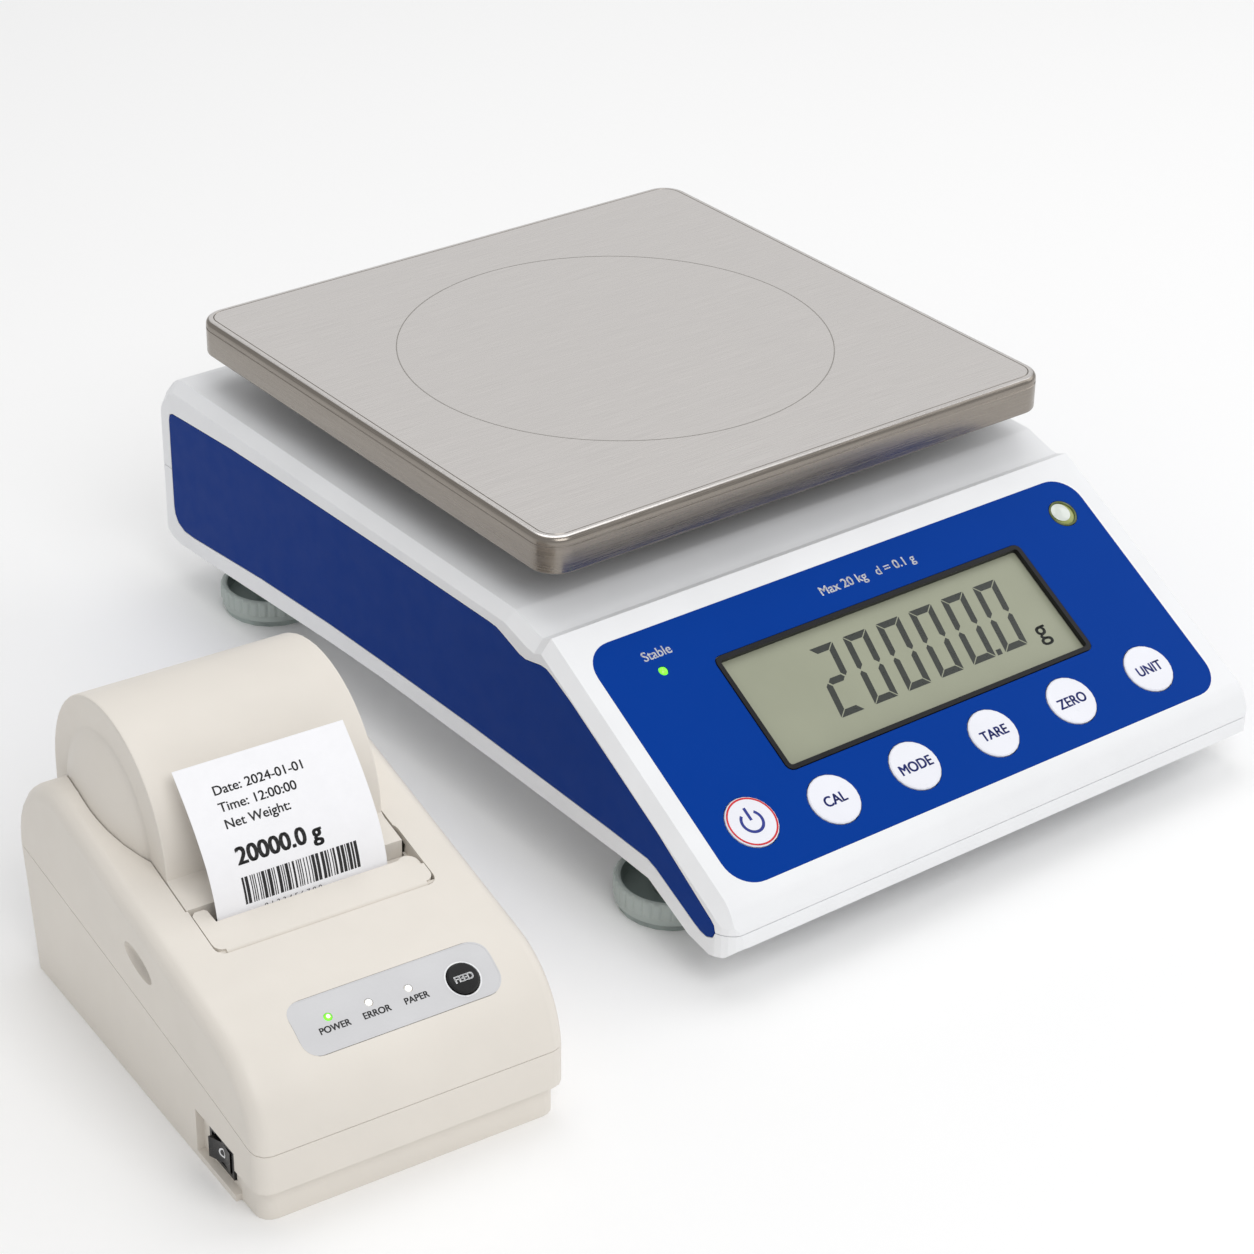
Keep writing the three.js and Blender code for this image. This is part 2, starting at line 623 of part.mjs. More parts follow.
function cheek(side, grow) {
  const { radius, height } = CHEEK;
  const sphere = (radius * radius + height * height) / (2 * height) + grow;
  const centre = DOME.half + height + grow - sphere;
  const base = DOME.half - 5;
  const rim = Math.acos((base - centre) / sphere);
  const profile = [[0, base]];
  for (let i = 0; i <= 6; i += 1) {
    const angle = rim * (1 - i / 6);
    profile.push([sphere * Math.sin(angle), centre + sphere * Math.cos(angle)]);
  }
  profile[profile.length - 1][0] = 0;
  const cap = turned(profile, 32).applyMatrix4(ALONG_X);
  if (side < 0) cap.rotateZ(Math.PI);
  return cap.translate(0, DOME.y, DOME.z);
}

function fingerScoop(side) {
  const scoop = new THREE.SphereGeometry(1, 16, 10).scale(3.4, 9.2, 3.6);
  return scoop.rotateX(radians(SLOPE)).translate(side * BODY_HALF, 71.5, 48.8);
}

function stickerArea(grow) {
  const { left, right, top, bottom } = STICKER;
  const width = right - left + 2 * grow;
  const length = SHELL_RADIUS * radians(bottom - top) + 2 * grow;
  const area = prismZ(roundedRectangle(width, length, STICKER.corner + grow, 5), -20, 20);
  return onFrontArc(area, (left + right) / 2, (top + bottom) / 2);
}

function stickerBand(inner, outer) {
  const { top, bottom } = STICKER;
  const from = 90 + top - 8;
  const to = 90 + bottom + 8;
  const outline = [
    ...arc(FRONT_ARC.x, FRONT_ARC.y, outer, from, to, 16),
    ...arc(FRONT_ARC.x, FRONT_ARC.y, inner, to, from, 16),
  ];
  return prismX(outline, -60, 60);
}

function printerCasing() {
  const outline = bodyOutline();
  const inside = BODY_HALF - BODY_WALL;
  const above = prismX(aboveSeam(GAP / 2, FAR), -FAR, FAR);
  let body = kept(toSolid(roundedPrismX(outline, BODY_HALF, BODY_EDGE)), above);
  body = cut(body, roundedPrismX(inset(outline, BODY_WALL), inside, BODY_EDGE - BODY_WALL, 2));
  const { half, front, depth, floor, wall } = POCKET;
  const tub = onSlope(box([FLAP.x - half - wall, along(front) - wall, -depth - floor],
    [FLAP.x + half + wall, along(LIP.y), -1]));
  body = body.add(toSolid(tub));
  const pocketLength = along(LIP.y + 8 - front);
  const pocket = prismZ(roundedRectangle(2 * half, pocketLength, 3.3, 4), -depth, 20)
    .translate(FLAP.x, along(front) + pocketLength / 2, 0);
  const recess = kept(toSolid(stickerArea(GAP)), stickerBand(SHELL_RADIUS - STICKER.recess, SHELL_RADIUS + 3));
  body = cut(body,
    onSlope(pocket),
    box([SLOT.left, SLOT.front, 30], [SLOT.right, LIP.y, 90]),
    box([-DOME.half - GAP, LIP.y - GAP, 0], [DOME.half + GAP, BODY_REAR + 9, 120]),
    cheek(-1, 0.4), cheek(1, 0.4), fingerScoop(-1), fingerScoop(1));
  body = body.subtract(recess);
  body = cut(body,
    onFrontArc(drum(BUTTON.radius + GAP, -12, 5), BUTTON.x, BUTTON.angle),
    ...LAMPS.x.map((x) => onFrontArc(drum(LAMPS.radius + GAP, -12, 5, 12), x, LAMPS.angle)),
    flapAxle(FLAP.pin + GAP, FLAP.x - half - 1.4, FLAP.x + half + 1.4));
  return mesh('printer_casing', body, COLOR.cream, 0.55);
}

function domeOutline() {
  const { y, z, radius } = DOME;
  return [
    point(LIP.y, slopeHeight(LIP.y) - LIP.drop),
    point(84, 52),
    point(BODY_REAR, HINGE.z + GAP),
    ...arc(y, z, radius, 0, 180, 28),
    point(CREASE_Y, slopeHeight(CREASE_Y)),
    point(LIP.y, slopeHeight(LIP.y)),
  ];
}

function rollCover() {
  const { y, z, radius, half, wall } = DOME;
  const outline = domeOutline();
  let body = joined(roundedPrismX(outline, half, DOME.edge, 2), cheek(-1, 0), cheek(1, 0));
  body = kept(body, prismX(outline, -FAR, FAR));
  const lining = [
    point(LIP.y + wall, 20),
    point(y + radius - wall, 20),
    ...arc(y, z, radius - wall, 0, 180, 20),
    point(CREASE_Y + 1, slopeHeight(CREASE_Y) - wall),
    point(LIP.y + wall, slopeHeight(LIP.y) - wall),
  ];
  body = cut(body, prismX(lining, wall - half, half - wall));
  body = body.subtract(toSolid(cheek(-1, -wall))).subtract(toSolid(cheek(1, -wall)));
  body = hingeKnuckles(11.6, 19.6, HINGE.radius).reduce((sum, part) => sum.add(toSolid(part)), body);
  body = cut(body,
    ...hingeKnuckles(19.7, 28.4, HINGE.radius + 0.4),
    drumX(HINGE.bore, -30, 30, HINGE.y, HINGE.z, 12));
  return mesh('roll_cover', body, COLOR.cream, 0.55);
}

function flapAxle(radius, left, right) {
  const axle = drumX(radius, left, right, 0, 0, 12);
  return onSlope(axle.translate(0, along(FLAP.front) + FLAP.barrel, -FLAP.barrel));
}

function headFlap() {
  const { x, half, front, rear, thick, barrel, pin } = FLAP;
  const [left, right] = [x - half, x + half];
  const start = along(front) + barrel;
  const end = along(rear);
  const tip = along(EAR.tip);
  const outline = [
    ...arc(right - 3, start + 3, 3, -90, 0, 4),
    point(right, along(57)), point(TONGUE.x + 0.6, along(57.6)), point(TONGUE.x - 1.4, along(60.4)),
    point(TONGUE.x - 2.6, end), point(EAR.inner, end), point(EAR.inner - 0.4, tip - 0.8),
    point(EAR.inner - 1.2, tip), point(left + 1.2, tip), point(left, tip - 1.2),
    ...arc(left + 3, start + 3, 3, 180, 270, 4),
  ];
  const tongueAt = along(TONGUE.y);
  const tongue = [
    point(TONGUE.x - TONGUE.radius, tongueAt - 4),
    point(TONGUE.x + TONGUE.radius, tongueAt - 4),
    ...arc(TONGUE.x, tongueAt, TONGUE.radius, 0, 180, 8),
  ];
  const body = joined(
    onSlope(prismZ(outline, -thick, 0)),
    onSlope(prismZ(tongue, -thick - TONGUE.drop, -TONGUE.drop)),
    flapAxle(barrel, left + 3, right - 3),
    flapAxle(pin, left - GAP - 1.2, right + GAP + 1.2));
  return mesh('head_flap', body, COLOR.cream, 0.55);
}

function controls() {
  const bottom = SHELL_RADIUS - STICKER.recess + GAP;
  const sheet = kept(toSolid(stickerArea(0)), stickerBand(bottom, bottom + STICKER.sheet));
  const opened = cut(sheet,
    onFrontArc(drum(BUTTON.radius + GAP, -12, 5), BUTTON.x, BUTTON.angle),
    ...LAMPS.x.map((x) => onFrontArc(drum(LAMPS.radius + GAP, -12, 5, 12), x, LAMPS.angle)));
  const { radius, below, proud } = BUTTON;
  const button = turned([[0, -below], [radius, -below], [radius, proud - 0.4], [radius - 0.5, proud], [0, proud]]);
  const names = ['power_lamp', 'error_lamp', 'paper_lamp'];
  const colors = [COLOR.green, COLOR.milky, COLOR.milky];
  const lens = () => turned([[0, -4], [LAMPS.radius, -4], [LAMPS.radius, 0], [LAMPS.radius * 0.7, 0.3], [0, 0.4]], 12);
  return [
    mesh('control_sticker', opened, COLOR.sticker, 0.45),
    mesh('feed_button', onFrontArc(button, BUTTON.x, BUTTON.angle), COLOR.black, 0.4),
    ...names.map((name, i) => mesh(name, onFrontArc(lens(), LAMPS.x[i], LAMPS.angle), colors[i], 0.3)),
  ];
}

// ---------------------------------------------------------------- printer: rocker switch and sockets

function rockerSwitch() {
  const { y, z, long, tall, face, rim, pivot, lean } = SWITCH;
  const frame = (length, height) => [
    point(y - length / 2, z - height / 2), point(y + length / 2, z - height / 2),
    point(y + length / 2, z + height / 2), point(y - length / 2, z + height / 2),
  ];
  const bezel = prismX(frame(long, tall), face, face + 6.4, [frame(long - 2 * rim, tall - 2 * rim)]);
  const side = [point(-4.1, -5.4), point(1.9, -4.5), point(1.9, 4.5), point(-4.1, 5.4), point(-2.7, 0)];
  const reach = tall / 2 - rim - 0.4;
  const rocker = prismZ(side, z - reach, z + reach).rotateZ(radians(lean)).translate(pivot, y, 0);
  return [
    mesh('switch_bezel', bezel, COLOR.black, 0.35),
    mesh('rocker_switch', rocker, COLOR.black, 0.35),
  ];
}

function printerSockets() {
  const port = cut(toSolid(box([-25 - 8, 141, 18], [-25 + 8, 156.6, 31])),
    box([-25 - 6, 156.6 - SOCKET_DEPTH, 20.4], [-25 + 6, 160, 28.6]));
  return [
    mesh('interface_socket', port, COLOR.darkSteel, 0.4, 1),
    mesh('supply_socket', socket([14, 15, 11], 3.2).translate(15, 149.2, 23.5), COLOR.black, 0.4),
  ];
}

// ---------------------------------------------------------------- printer: paper path and drive

function labelRoll() {
  const { y, z, radius, bore, left, right } = ROLL;
  const roll = pipe(radius, bore, left, right, 32).applyMatrix4(ALONG_X).translate(0, y, z);
  const core = turned([
    [0, -33.4], [4, -33.4], [4, -29.4], [bore - GAP, -29.4], [bore - GAP, 28.4], [4, 28.4], [4, 33.4], [0, 33.4],
  ], 20).applyMatrix4(ALONG_X).translate(0, y, z);
  return [
    mesh('label_roll', roll, COLOR.paper, 0.8),
    mesh('roll_core', core, COLOR.cardboard, 0.8),
  ];
}

// The label runs up from the nip, through the slot, and leans back over the dome.
function labelStrip() {
  const path = new THREE.CatmullRomCurve3([
    [62.05, 47], [62.05, 54], [62.1, 61], [64.2, 69], [68.6, 77.6], [77, 88.2], [88, 98.9],
  ].map(([y, z]) => new THREE.Vector3(y, z, 0)));
  const line = path.getPoints(14).map(({ x, y }) => point(x, y));
  const offset = line.map((here, i) => {
    const before = line[Math.max(i - 1, 0)];
    const after = line[Math.min(i + 1, line.length - 1)];
    const tangent = after.clone().sub(before).normalize();
    return here.clone().add(point(-tangent.y, tangent.x).multiplyScalar(STRIP.thick));
  });
  const strip = prismX([...line, ...offset.reverse()], STRIP.left, STRIP.right);
  return mesh('label_strip', strip.translate(0, STRIP.thick / 2, 0), COLOR.paper, 0.7);
}

function headAndTearBar() {
  const head = joined(
    box([-30, 57.4, 42.5], [30, 61.4, 50.4]),
    box([-26, 54.6, 44], [26, 58, 49]));
  return [
    mesh('print_head', head, COLOR.darkSteel, 0.4, 1),
    mesh('tear_bar', box([-30, 56.8, 50.7], [30, 61.5, 51.5]), COLOR.steel, 0.3, 1),
  ];
}

function platen() {
  const { y, z, radius, half, shaft } = PLATEN;
  const roller = pipe(radius, shaft + GAP, -half, half, 24).applyMatrix4(ALONG_X).translate(0, y, z);
  return [
    mesh('platen_roller', roller, COLOR.rubber, 0.8),
    mesh('platen_shaft', drumX(shaft, -39.5, 45.5, y, z, 16), COLOR.steel, 0.3, 1),
  ];
}

const involute = (angle) => Math.tan(angle) - angle;

// Tooth outline with straight chords between root, pitch circle and tip.
function gearOutline(teeth, phase) {
  const pressure = radians(20);
  const pitch = (GEAR.module * teeth) / 2;
  const base = pitch * Math.cos(pressure);
  const root = pitch - 1.2 * GEAR.module;
  const tip = pitch + 0.85 * GEAR.module;
  const halfTooth = Math.PI / (2 * teeth) - GEAR.backlash / (2 * pitch);
  const spread = (radius) => halfTooth + involute(pressure) - involute(Math.acos(base / Math.max(radius, base)));
  const flank = [root, pitch, tip];
  const points = [];
  for (let i = 0; i < teeth; i += 1) {
    const centre = phase + (i * 2 * Math.PI) / teeth;
    const place = (radius, side) => {
      const angle = centre + side * spread(radius);
      points.push(point(radius * Math.cos(angle), radius * Math.sin(angle)));
    };
    flank.forEach((radius) => place(radius, -1));
    [...flank].reverse().forEach((radius) => place(radius, 1));
  }
  return points;
}

function gear(teeth, phase, centre, bore) {
  const hole = arc(0, 0, bore, 0, 330, 11);
  return prismX(gearOutline(teeth, phase), GEAR.left, GEAR.right, [hole]).translate(0, centre.x, centre.y);
}

const gearDistance = (first, second) => (GEAR.module * (first + second)) / 2 + 0.1;

function gearTrain() {
  const platenAt = point(PLATEN.y, PLATEN.z);
  const toIdler = radians(IDLER_BEARING);
  const toPinion = radians(PINION_BEARING);
  const idlerAt = platenAt.clone().add(point(Math.cos(toIdler), Math.sin(toIdler))
    .multiplyScalar(gearDistance(TEETH.platen, TEETH.idler)));
  const pinionAt = idlerAt.clone().add(point(Math.cos(toPinion), Math.sin(toPinion))
    .multiplyScalar(gearDistance(TEETH.idler, TEETH.pinion)));
  const platenPhase = toIdler;
  const idlerPhase = toIdler + Math.PI - Math.PI / TEETH.idler;
  const pinionPhase = toPinion + Math.PI - (TEETH.idler * (idlerPhase - toPinion) + Math.PI) / TEETH.pinion;
  return { platenAt, idlerAt, pinionAt, platenPhase, idlerPhase, pinionPhase };
}

function drive() {
  const train = gearTrain();
  const { platenAt, idlerAt, pinionAt } = train;
  const pinion = joined(gear(TEETH.pinion, train.pinionPhase, pinionAt, 1.2),
    drumX(1.5, 36.9, GEAR.right + 1, pinionAt.x, pinionAt.y, 12));
  const can = joined(
    drumX(17, 16, 35.4, pinionAt.x, pinionAt.y, 32),
    drumX(5, 35, 36.6, pinionAt.x, pinionAt.y, 16));
  return [
    mesh('platen_gear', gear(TEETH.platen, train.platenPhase, platenAt, PLATEN.shaft + GAP), COLOR.acetal, 0.5),
    mesh('idler_gear', gear(TEETH.idler, train.idlerPhase, idlerAt, 2 + GAP), COLOR.acetal, 0.5),
    mesh('motor_pinion', pinion, COLOR.steel, 0.3, 1),
    mesh('stepper_motor', can, COLOR.darkSteel, 0.4, 1),
  ];
}

function mechanismFrame() {
  const { idlerAt, pinionAt } = gearTrain();
  const sheet = 1.2;
  const side = 37;
  const cheekPlate = [point(59, 9), point(78, 9), point(78, 47), point(73, 55), point(64, 55), point(59, 47)];
  const drivePlate = [
    point(12, 9), point(78, 9), point(78, 47), point(73, 55), point(64, 55), point(60, 47), point(12, 46),
  ];
  let frame = joined(
    prismX(cheekPlate, -side - sheet, -side),
    prismX(drivePlate, side, side + sheet),
    box([-side - sheet, 60, 9], [side + sheet, 78, 9 + sheet]),
    drumX(2, side + 0.5, GEAR.right + 1, idlerAt.x, idlerAt.y, 12));
  frame = cut(frame,
    drumX(PLATEN.shaft + GAP, -FAR, FAR, PLATEN.y, PLATEN.z, 16),
    drumX(2.2, side - 1, side + 2, pinionAt.x, pinionAt.y, 12));
  return mesh('mechanism_frame', frame, COLOR.steel, 0.4, 1);
}

function hingePin() {
  return mesh('cover_hinge_pin', drumX(HINGE.pin, -27.5, 27.5, HINGE.y, HINGE.z, 10), COLOR.steel, 0.3, 1);
}

function printerBoard() {
  return mesh('printer_board', box([-38, 8, 6.5], [11, 56, 8.1]), COLOR.board, 0.5);
}

// ---------------------------------------------------------------- assembly

const { top, bottom } = buildCasing();

const scale = new THREE.Group();
scale.position.set(...SCALE_AT, 0);
scale.add(
  weighingPan(), panSupport(), ...loadCell(), chassisPlate(),
  mesh('top_casing', top, COLOR.whitePlastic, 0.5),
  mesh('bottom_casing', bottom, COLOR.whitePlastic, 0.5),
  ...sideInlays(), frontOverlay(), ...display(), ...keys(), ...lampAndVial(),
  ...electronics(), ...feet(),
);

const printer = new THREE.Group();
printer.position.set(...PRINTER_AT, 0);
printer.rotation.z = radians(PRINTER_TURN);
printer.add(
  printerBase(), printerCasing(), rollCover(), hingePin(), headFlap(), ...controls(),
  ...rockerSwitch(), ...printerSockets(), ...labelRoll(), labelStrip(), ...headAndTearBar(),
  ...platen(), ...drive(), mechanismFrame(), printerBoard(),
);

const set = new THREE.Group();
set.add(scale, printer);

export default set;
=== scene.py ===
"""Looks of the label printing scale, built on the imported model.

Lengths inside the builders are millimetres; the matrices below turn them into metres in the row frame.
"""

import json
import math
import random

import bmesh
import bpy
from mathutils import Matrix, Vector


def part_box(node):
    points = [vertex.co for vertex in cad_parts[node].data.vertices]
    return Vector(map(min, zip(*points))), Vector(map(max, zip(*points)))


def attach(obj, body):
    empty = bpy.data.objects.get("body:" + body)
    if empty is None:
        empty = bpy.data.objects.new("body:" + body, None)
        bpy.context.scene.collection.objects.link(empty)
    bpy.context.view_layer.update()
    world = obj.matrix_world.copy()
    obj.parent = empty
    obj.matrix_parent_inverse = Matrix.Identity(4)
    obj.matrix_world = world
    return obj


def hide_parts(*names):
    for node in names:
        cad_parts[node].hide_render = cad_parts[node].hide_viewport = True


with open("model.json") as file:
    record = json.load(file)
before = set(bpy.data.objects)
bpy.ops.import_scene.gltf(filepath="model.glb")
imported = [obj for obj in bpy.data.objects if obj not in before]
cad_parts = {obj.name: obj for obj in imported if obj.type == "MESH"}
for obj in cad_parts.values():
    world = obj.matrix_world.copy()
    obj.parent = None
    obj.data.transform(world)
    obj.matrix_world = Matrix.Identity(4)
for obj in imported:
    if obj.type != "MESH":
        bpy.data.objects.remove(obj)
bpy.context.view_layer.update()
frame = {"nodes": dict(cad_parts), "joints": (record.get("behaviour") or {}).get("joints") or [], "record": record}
nodes = frame["nodes"]
record = frame["record"]

# ---------------------------------------------------------------- frames

MM = Matrix.Scale(0.001, 4)
mounts = {mount["name"]: mount for mount in record["mounts"]}
joints = {joint["name"]: joint for joint in frame["joints"]}

pan_top = Vector(mounts["pan_top"]["pos_m"])
PAN_HEIGHT = pan_top.z * 1000
SCALE = Matrix.Translation((pan_top.x, pan_top.y, 0)) @ MM

PANEL_TILT = math.radians(29.3)
PANEL = SCALE @ Matrix.Translation((0, -125, 81)) @ Matrix.Rotation(PANEL_TILT, 4, "X")

PRINTER_MIDDLE = 76  # the underside mount's distance behind the front foot line
across = -Vector(joints["lid_hinge"]["axis"])
printer_turn = Matrix.Rotation(math.atan2(across.y, across.x), 4, "Z")
underside = Vector(mounts["printer_underside"]["pos_m"])
PRINTER = (
    Matrix.Translation(underside) @ printer_turn @ MM @ Matrix.Translation((0, -PRINTER_MIDDLE, 0))
)

SLOPE_START = 49.3
SLOPE_ANGLE = math.radians(11.9)

ARC_RADIUS = 32
ARC_Y = ARC_RADIUS - 2.6
ARC_Z = SLOPE_START + ARC_Y * math.tan(SLOPE_ANGLE) - ARC_RADIUS / math.cos(SLOPE_ANGLE)


def on_arc(x, degrees):
    """Frame on the printer's rounded front: x across, y up the curve, z out."""
    return (
        PRINTER
        @ Matrix.Translation((x, ARC_Y, ARC_Z))
        @ Matrix.Rotation(math.radians(degrees), 4, "X")
        @ Matrix.Translation((0, 0, ARC_RADIUS))
    )


# ---------------------------------------------------------------- mesh helpers


def finish_mesh(obj, smooth=35.0):
    """Smooth shading with hard edges above an angle."""
    for face in obj.data.polygons:
        face.use_smooth = True
    split = obj.modifiers.new("hard edges", "EDGE_SPLIT")
    split.split_angle = math.radians(smooth)
    return obj


def add_piece(name, bm, place, body, material, smooth=35.0):
    """Turns a bmesh in local millimetres into a piece that rides on a body.
    """
    bmesh.ops.recalc_face_normals(bm, faces=bm.faces)
    mesh = bpy.data.meshes.new(name)
    bm.to_mesh(mesh)
    bm.free()
    mesh.transform(place)
    if place.determinant() < 0:
        mesh.flip_normals()
    mesh.materials.append(material)
    obj = bpy.data.objects.new(name, mesh)
    bpy.context.scene.collection.objects.link(obj)
    finish_mesh(obj, smooth)
    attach(obj, body)
    return obj


def loft(rings, close_ends=True, closed_loop=False):
    """Skins a list of rings that have the same number of points."""
    bm = bmesh.new()
    made = [[bm.verts.new(point) for point in ring] for ring in rings]
    pairs = list(zip(made, made[1:]))
    if closed_loop:
        pairs.append((made[-1], made[0]))
    for low, high in pairs:
        count = len(low)
        for i in range(count):
            j = (i + 1) % count
            bm.faces.new((low[i], low[j], high[j], high[i]))
    if close_ends and not closed_loop:
        bm.faces.new(list(reversed(made[0])))
        bm.faces.new(made[-1])
    return bm


def circle(radius, z, steps, wobble=None):
    points = []
    for i in range(steps):
        angle = 2 * math.pi * i / steps
        reach = radius + (wobble(i) if wobble else 0)
        points.append((reach * math.cos(angle), reach * math.sin(angle), z))
    return points


def turned(profile, steps=48):
    """A turned solid from (radius, height) pairs; it may start and end on the axis."""
    rings = [circle(max(radius, 0.001), z, steps) for radius, z in profile]
    return loft(rings)


def rounded_rectangle(width, height, radius, steps=6):
    points = []
    for corner in range(4):
        sx = 1 if corner in (0, 3) else -1
        sy = 1 if corner in (0, 1) else -1
        for i in range(steps + 1):
            angle = math.pi / 2 * (corner + i / steps)
            x = sx * (width / 2 - radius) + radius * math.cos(angle)
            y = sy * (height / 2 - radius) + radius * math.sin(angle)
            points.append((x, y))
    return points


def plate(outline, low, high):
    return loft([[(x, y, low) for x, y in outline], [(x, y, high) for x, y in outline]])


def join_into(target, other):
    """Adds another bmesh's geometry to target and frees it."""
    carrier = bpy.data.meshes.new("carrier")
    other.to_mesh(carrier)
    other.free()
    target.from_mesh(carrier)
    bpy.data.meshes.remove(carrier)
    return target


def moved(bm, matrix):
    bm.transform(matrix)
    return bm


def hide_behind(piece, *names):
    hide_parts(*names)
    return piece


# ---------------------------------------------------------------- lettering

CAP_OF_FONT = 0.729  # height of a capital in a font of size 1
INK = 0.03  # how far print stands off its surface


def letter_mesh(words, cap_height, bold=0.0, align="CENTER", narrow=1.0):
    """Flat letters in the x, y plane as a bmesh, with capitals cap_height tall.

    bold is how many millimetres the strokes are widened by.
    """
    curve = bpy.data.curves.new("letters", "FONT")
    curve.body = words
    curve.size = 1.0
    curve.align_x = align
    curve.resolution_u = 6
    curve.fill_mode = "FRONT"
    holder = bpy.data.objects.new("letters", curve)
    bpy.context.scene.collection.objects.link(holder)
    bpy.context.view_layer.update()
    graph = bpy.context.evaluated_depsgraph_get()
    mesh = bpy.data.meshes.new_from_object(holder.evaluated_get(graph))
    bm = bmesh.new()
    bm.from_mesh(mesh)
    size = cap_height / CAP_OF_FONT
    bm.transform(Matrix.Diagonal((size * narrow, size, 1, 1)))
    bpy.data.objects.remove(holder)
    bpy.data.curves.remove(curve)
    bpy.data.meshes.remove(mesh)
    return widened(bm, bold) if bold else bm


def widened(letters, bold):
    """Letters with thicker strokes: four copies, each moved half the extra width."""
    whole = bmesh.new()
    for dx, dy in ((-1, -0.5), (-1, 0.5), (1, -0.5), (1, 0.5)):
        copy = letters.copy()
        copy.transform(Matrix.Translation((dx * bold / 2, dy * bold / 2, 0)))
        join_into(whole, copy)
    letters.free()
    return whole


def lay(bm, surface, x=0.0, y=0.0, lift=INK):
    """Moves flat artwork onto a surface given as a function of x, y and lift."""
    for vert in bm.verts:
        vert.co = Vector(surface(vert.co.x + x, vert.co.y + y, lift))
    return bm


def print_or_shade_piece(name, artwork, place, body, material):
    """Adds flat artwork, print or painted shade, made of single faces that all look outwards."""
    mesh = bpy.data.meshes.new(name)
    artwork.to_mesh(mesh)
    artwork.free()
    mesh.transform(place)
    mesh.materials.append(material)
    obj = bpy.data.objects.new(name, mesh)
    bpy.context.scene.collection.objects.link(obj)
    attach(obj, body)
    return obj


def polygon(points):
    bm = bmesh.new()
    bm.faces.new([bm.verts.new((x, y, 0)) for x, y in points])
    return bm


def annulus(inner, outer, start=0.0, end=360.0, steps=64):
    """A flat ring or arc of a ring, facing +z."""
    bm = bmesh.new()
    pairs = []
    for i in range(steps + 1):
        angle = math.radians(start + (end - start) * i / steps)
        direction = Vector((math.cos(angle), math.sin(angle), 0))
        pairs.append((bm.verts.new(direction * inner), bm.verts.new(direction * outer)))
    for (a, b), (c, d) in zip(pairs, pairs[1:]):
        bm.faces.new((a, b, d, c))
    return bm


def grid_rectangle(x0, y0, x1, y1, rows=1):
    """A rectangle in several rows, so that it can bend."""
    bm = bmesh.new()
    made = []
    for i in range(rows + 1):
        y = y0 + (y1 - y0) * i / rows
        made.append((bm.verts.new((x0, y, 0)), bm.verts.new((x1, y, 0))))
    for (a, b), (c, d) in zip(made, made[1:]):
        bm.faces.new((a, b, d, c))
    return bm


# ---------------------------------------------------------------- materials


class Shader:
    """A small wrapper that keeps node code short."""

    def __init__(self, name):
        self.material = bpy.data.materials.new(name)
        self.material.use_nodes = True
        self.tree = self.material.node_tree
        self.bsdf = self.tree.nodes["Principled BSDF"]

    def node(self, kind, **settings):
        made = self.tree.nodes.new(kind)
        for key, value in settings.items():
            setattr(made, key, value)
        return made

    def link(self, source, target):
        self.tree.links.new(source, target)

    def place(self, scale=(1, 1, 1)):
        """Object coordinates in metres, stretched by scale."""
        source = self.node("ShaderNodeTexCoord")
        mapping = self.node("ShaderNodeMapping")
        mapping.inputs["Scale"].default_value = scale
        self.link(source.outputs["Object"], mapping.inputs["Vector"])
        return mapping.outputs["Vector"]

    def noise(self, vector, scale, detail=4.0, roughness=0.55):
        made = self.node("ShaderNodeTexNoise")
        made.inputs["Scale"].default_value = scale
        made.inputs["Detail"].default_value = detail
        made.inputs["Roughness"].default_value = roughness
        self.link(vector, made.inputs["Vector"])
        return made.outputs["Fac"]

    def remap(self, value, low, high, from_low=0.3, from_high=0.7):
        made = self.node("ShaderNodeMapRange")
        made.inputs["From Min"].default_value = from_low
        made.inputs["From Max"].default_value = from_high
        made.inputs["To Min"].default_value = low
        made.inputs["To Max"].default_value = high
        self.link(value, made.inputs["Value"])
        return made.outputs["Result"]

    def tint(self, value, dark, light, at=(0.3, 0.7)):
        """Colour between dark and light by value."""
        made = self.node("ShaderNodeValToRGB")
        made.color_ramp.elements[0].position = at[0]
        made.color_ramp.elements[0].color = (*dark, 1)
        made.color_ramp.elements[1].position = at[1]
        made.color_ramp.elements[1].color = (*light, 1)
        self.link(value, made.inputs["Fac"])
        return made.outputs["Color"]

    def bump(self, value, strength, distance):
        made = self.node("ShaderNodeBump")
        made.inputs["Strength"].default_value = strength
        made.inputs["Distance"].default_value = distance
        self.link(value, made.inputs["Height"])
        self.link(made.outputs["Normal"], self.bsdf.inputs["Normal"])

    def colour(self, output):
        self.link(output, self.bsdf.inputs["Base Color"])

    def roughness(self, output):
        self.link(output, self.bsdf.inputs["Roughness"])


def shade(colour, factor):
    return tuple(min(1.0, channel * factor) for channel in colour)


def linear(red, green, blue):
    """Display colour, 0 to 255, as scene light."""
    made = []
    for channel in (red, green, blue):
        value = channel / 255
        made.append(value / 12.92 if value <= 0.04045 else ((value + 0.055) / 1.055) ** 2.4)
    return tuple(made)


def moulded_plastic(name, colour, rough=0.42, grain=0.25, grain_size=1600, variation=0.03, gloss=0.45):
    """Injection-moulded plastic: spark-eroded grain, faint clouding, uneven gloss."""
    s = Shader(name)
    where = s.place()
    cloud = s.noise(where, 22, 3)
    s.colour(s.tint(cloud, shade(colour, 1 - variation), shade(colour, 1 + variation)))
    s.roughness(s.remap(s.noise(where, 140, 5), rough - 0.05, rough + 0.07))
    s.bump(s.noise(where, grain_size, 2, 0.7), grain, 0.00006)
    s.bsdf.inputs["Specular IOR Level"].default_value = gloss
    return s.material


